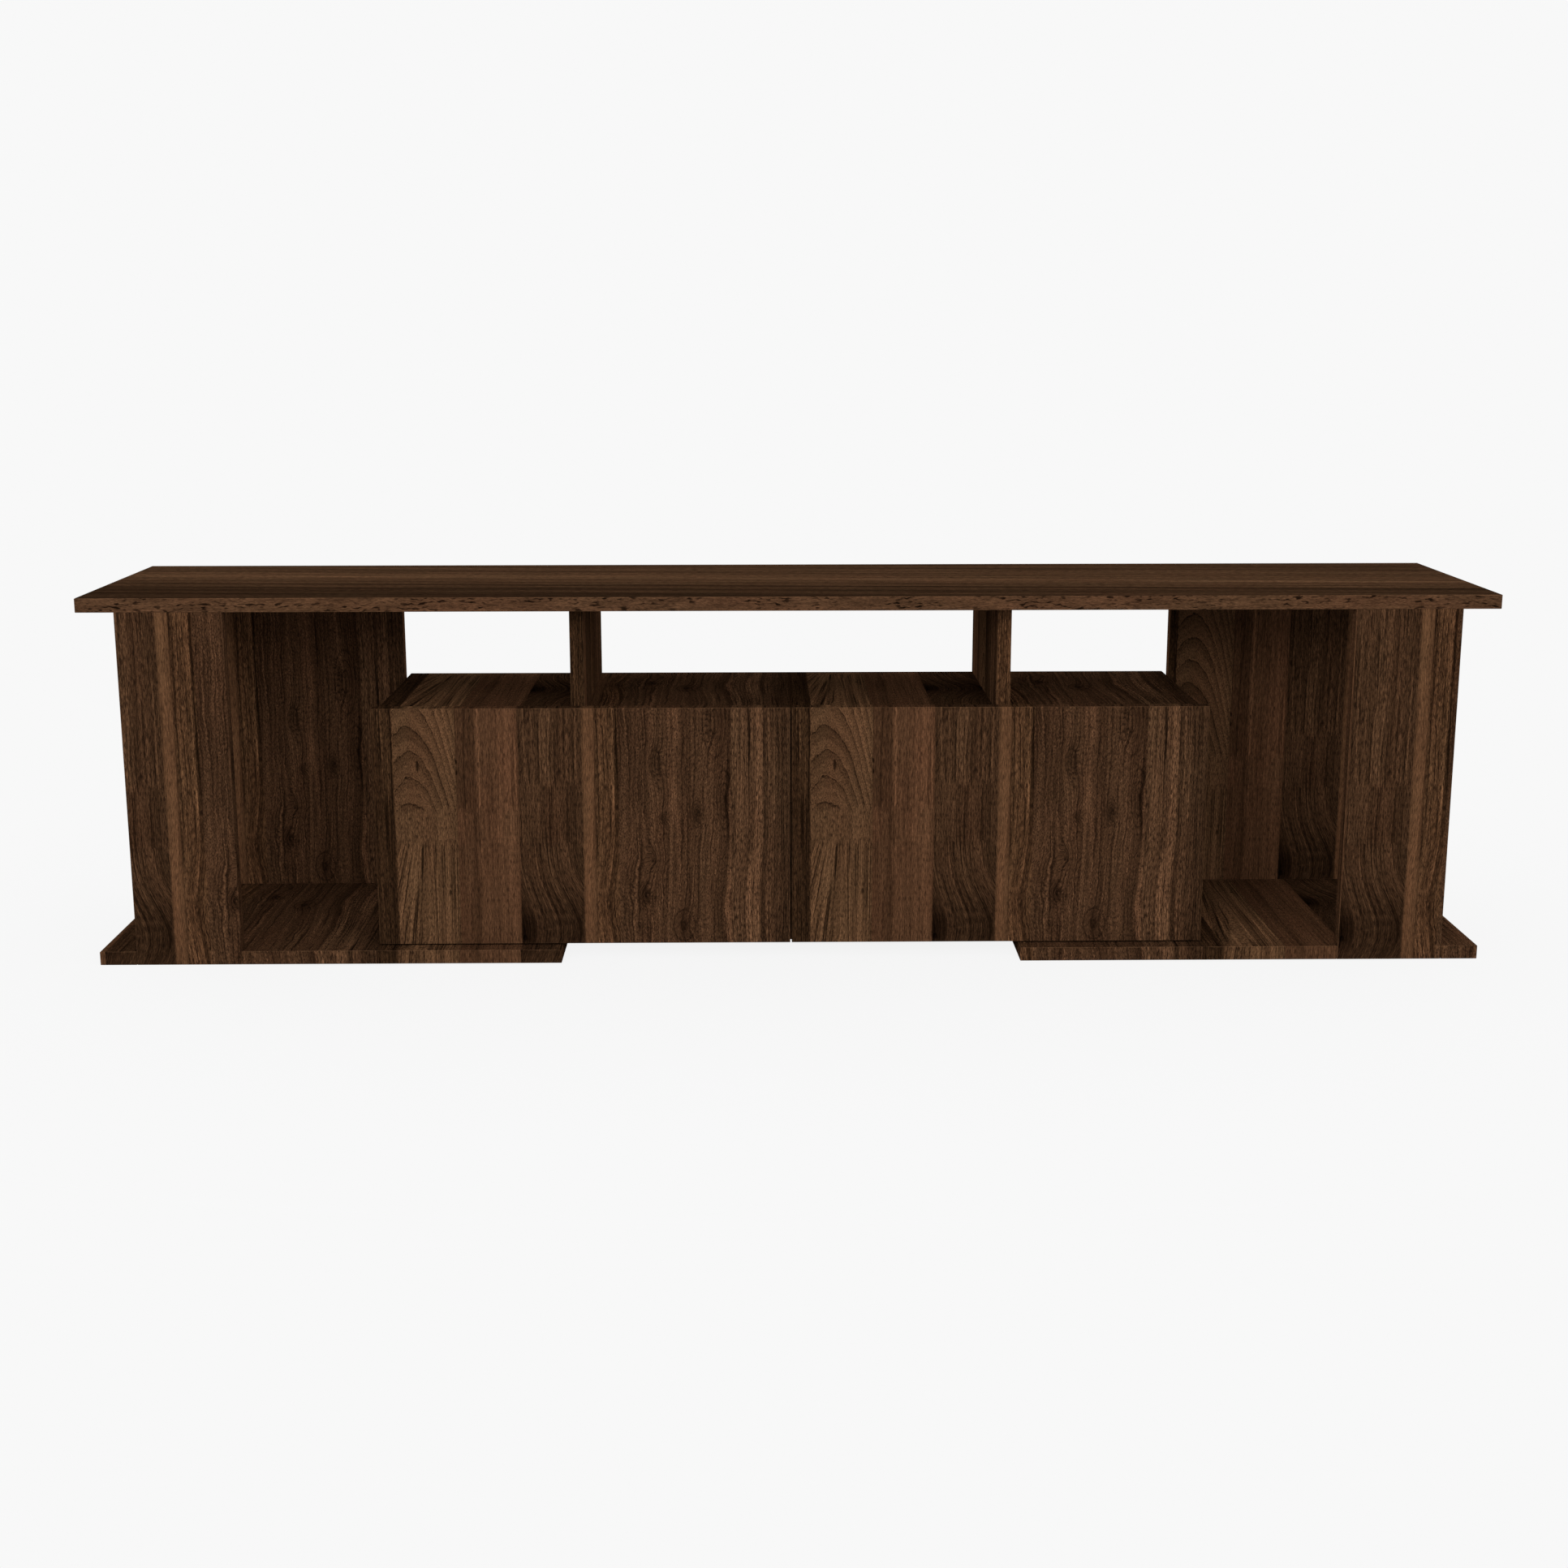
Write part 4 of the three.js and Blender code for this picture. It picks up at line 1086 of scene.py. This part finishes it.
def make_world(settings):
    """Even light for the object, and the pale backdrop for what the camera and reflections see."""
    world = bpy.data.worlds.new("studio")
    world.use_nodes = True
    world.node_tree.nodes.clear()
    w = Wiring(world.node_tree)
    path = w.node("ShaderNodeLightPath")
    lit = w.named("ShaderNodeBackground", {"Color": opaque((1.0, 1.0, 1.0)), "Strength": settings.ambient})
    seen = w.named("ShaderNodeBackground", {"Color": opaque(settings.backdrop), "Strength": 1.0})
    share = w.plus(path.outputs["Is Camera Ray"], path.outputs["Is Transmission Ray"])
    share = w.maths("ADD", share, path.outputs["Is Glossy Ray"], clamp=True)
    mixed = w.blend_shaders(share, lit, seen)
    w.feed(w.node("ShaderNodeOutputWorld").inputs["Surface"], mixed)
    bpy.context.scene.world = world


def floor_material(settings):
    """Pale floor that takes the object's shadow near it and fades into the backdrop further off. Only the
    camera sees it so: for the light it is a plain grey."""
    material, w = new_material("pale_floor")
    coordinates = w.node("ShaderNodeTexCoord")
    x, y, _ = w.parted(coordinates.outputs["Object"])
    distance = w.maths("SQRT", w.plus(w.squared(w.times(x, FLOOR_STRETCH)), w.squared(y)))
    far = w.smooth(distance, *FADE_EDGE, GLOW_NEAR, 1.0)
    matt = w.named("ShaderNodeBsdfDiffuse", {"Color": opaque(settings.backdrop)})
    glow = w.named("ShaderNodeEmission", {"Color": opaque(settings.backdrop)})
    bounce = w.named("ShaderNodeBsdfDiffuse", {"Color": opaque((BOUNCE_GREY,) * 3)})
    is_seen = w.node("ShaderNodeLightPath").outputs["Is Camera Ray"]
    mixed = w.blend_shaders(is_seen, bounce, w.blend_shaders(far, matt, glow))
    w.feed(w.node("ShaderNodeOutputMaterial").inputs["Surface"], mixed)
    return material


def make_floor(settings):
    """A flat square under the object: x and y each run from minus to plus its half width."""
    half_width = 30.0
    x, y = np.meshgrid([-half_width, half_width], [-half_width, half_width])
    points = np.stack([x.ravel(), y.ravel(), np.zeros(4)], 1)
    mesh = bpy.data.meshes.new("floor")
    mesh.from_pydata(points.tolist(), [], [(0, 1, 3, 2)])
    mesh.materials.append(floor_material(settings))
    floor = bpy.data.objects.new("floor", mesh)
    bpy.context.scene.collection.objects.link(floor)


class TVUNIT_OT_set_stage(bpy.types.Operator):
    """Places the camera, the lamps, the pale world and the floor"""

    bl_idname = "tvunit.set_stage"
    bl_label = "Set stage"

    def execute(self, context):
        settings = context.scene.stage_settings
        make_camera(settings)
        for name, lamp in LAMPS.items():
            make_lamp(name, lamp, getattr(settings, lamp.power))
        make_world(settings)
        make_floor(settings)
        context.scene.view_settings.view_transform = "Standard"
        return {"FINISHED"}


class TVUNIT_PT_sidebar(bpy.types.Panel):
    """Lists the settings and the steps of the TV unit"""

    bl_idname = "TVUNIT_PT_sidebar"
    bl_label = "TV unit"
    bl_space_type = "VIEW_3D"
    bl_region_type = "UI"
    bl_category = "TV unit"

    def draw(self, context):
        layout = self.layout
        for operator in OPERATORS:
            layout.operator(operator.bl_idname)
        for settings_name in SETTINGS:
            group = getattr(context.scene, settings_name)
            box = layout.box()
            for name in group.bl_rna.properties.keys():
                if name not in ("rna_type", "name"):
                    box.prop(group, name)


OPERATORS = (TVUNIT_OT_finish_boards, TVUNIT_OT_finish_fittings, TVUNIT_OT_set_stage)
SETTINGS = {
    "walnut_settings": WalnutSettings,
    "fitting_settings": FittingSettings,
    "stage_settings": StageSettings,
}


def register():
    """Registers the settings, the operators and the panel."""
    for name, group in SETTINGS.items():
        bpy.utils.register_class(group)
        setattr(bpy.types.Scene, name, PointerProperty(type=group))
    for operator in OPERATORS:
        bpy.utils.register_class(operator)
    bpy.utils.register_class(TVUNIT_PT_sidebar)


def unregister():
    """Takes away what register added."""
    bpy.utils.unregister_class(TVUNIT_PT_sidebar)
    for operator in reversed(OPERATORS):
        bpy.utils.unregister_class(operator)
    for name, group in SETTINGS.items():
        delattr(bpy.types.Scene, name)
        bpy.utils.unregister_class(group)


def main():
    """Registers the add-on and runs its steps in order."""
    register()
    bpy.ops.tvunit.finish_boards()
    bpy.ops.tvunit.finish_fittings()
    bpy.ops.tvunit.set_stage()


if __name__ == "__main__":
    main()
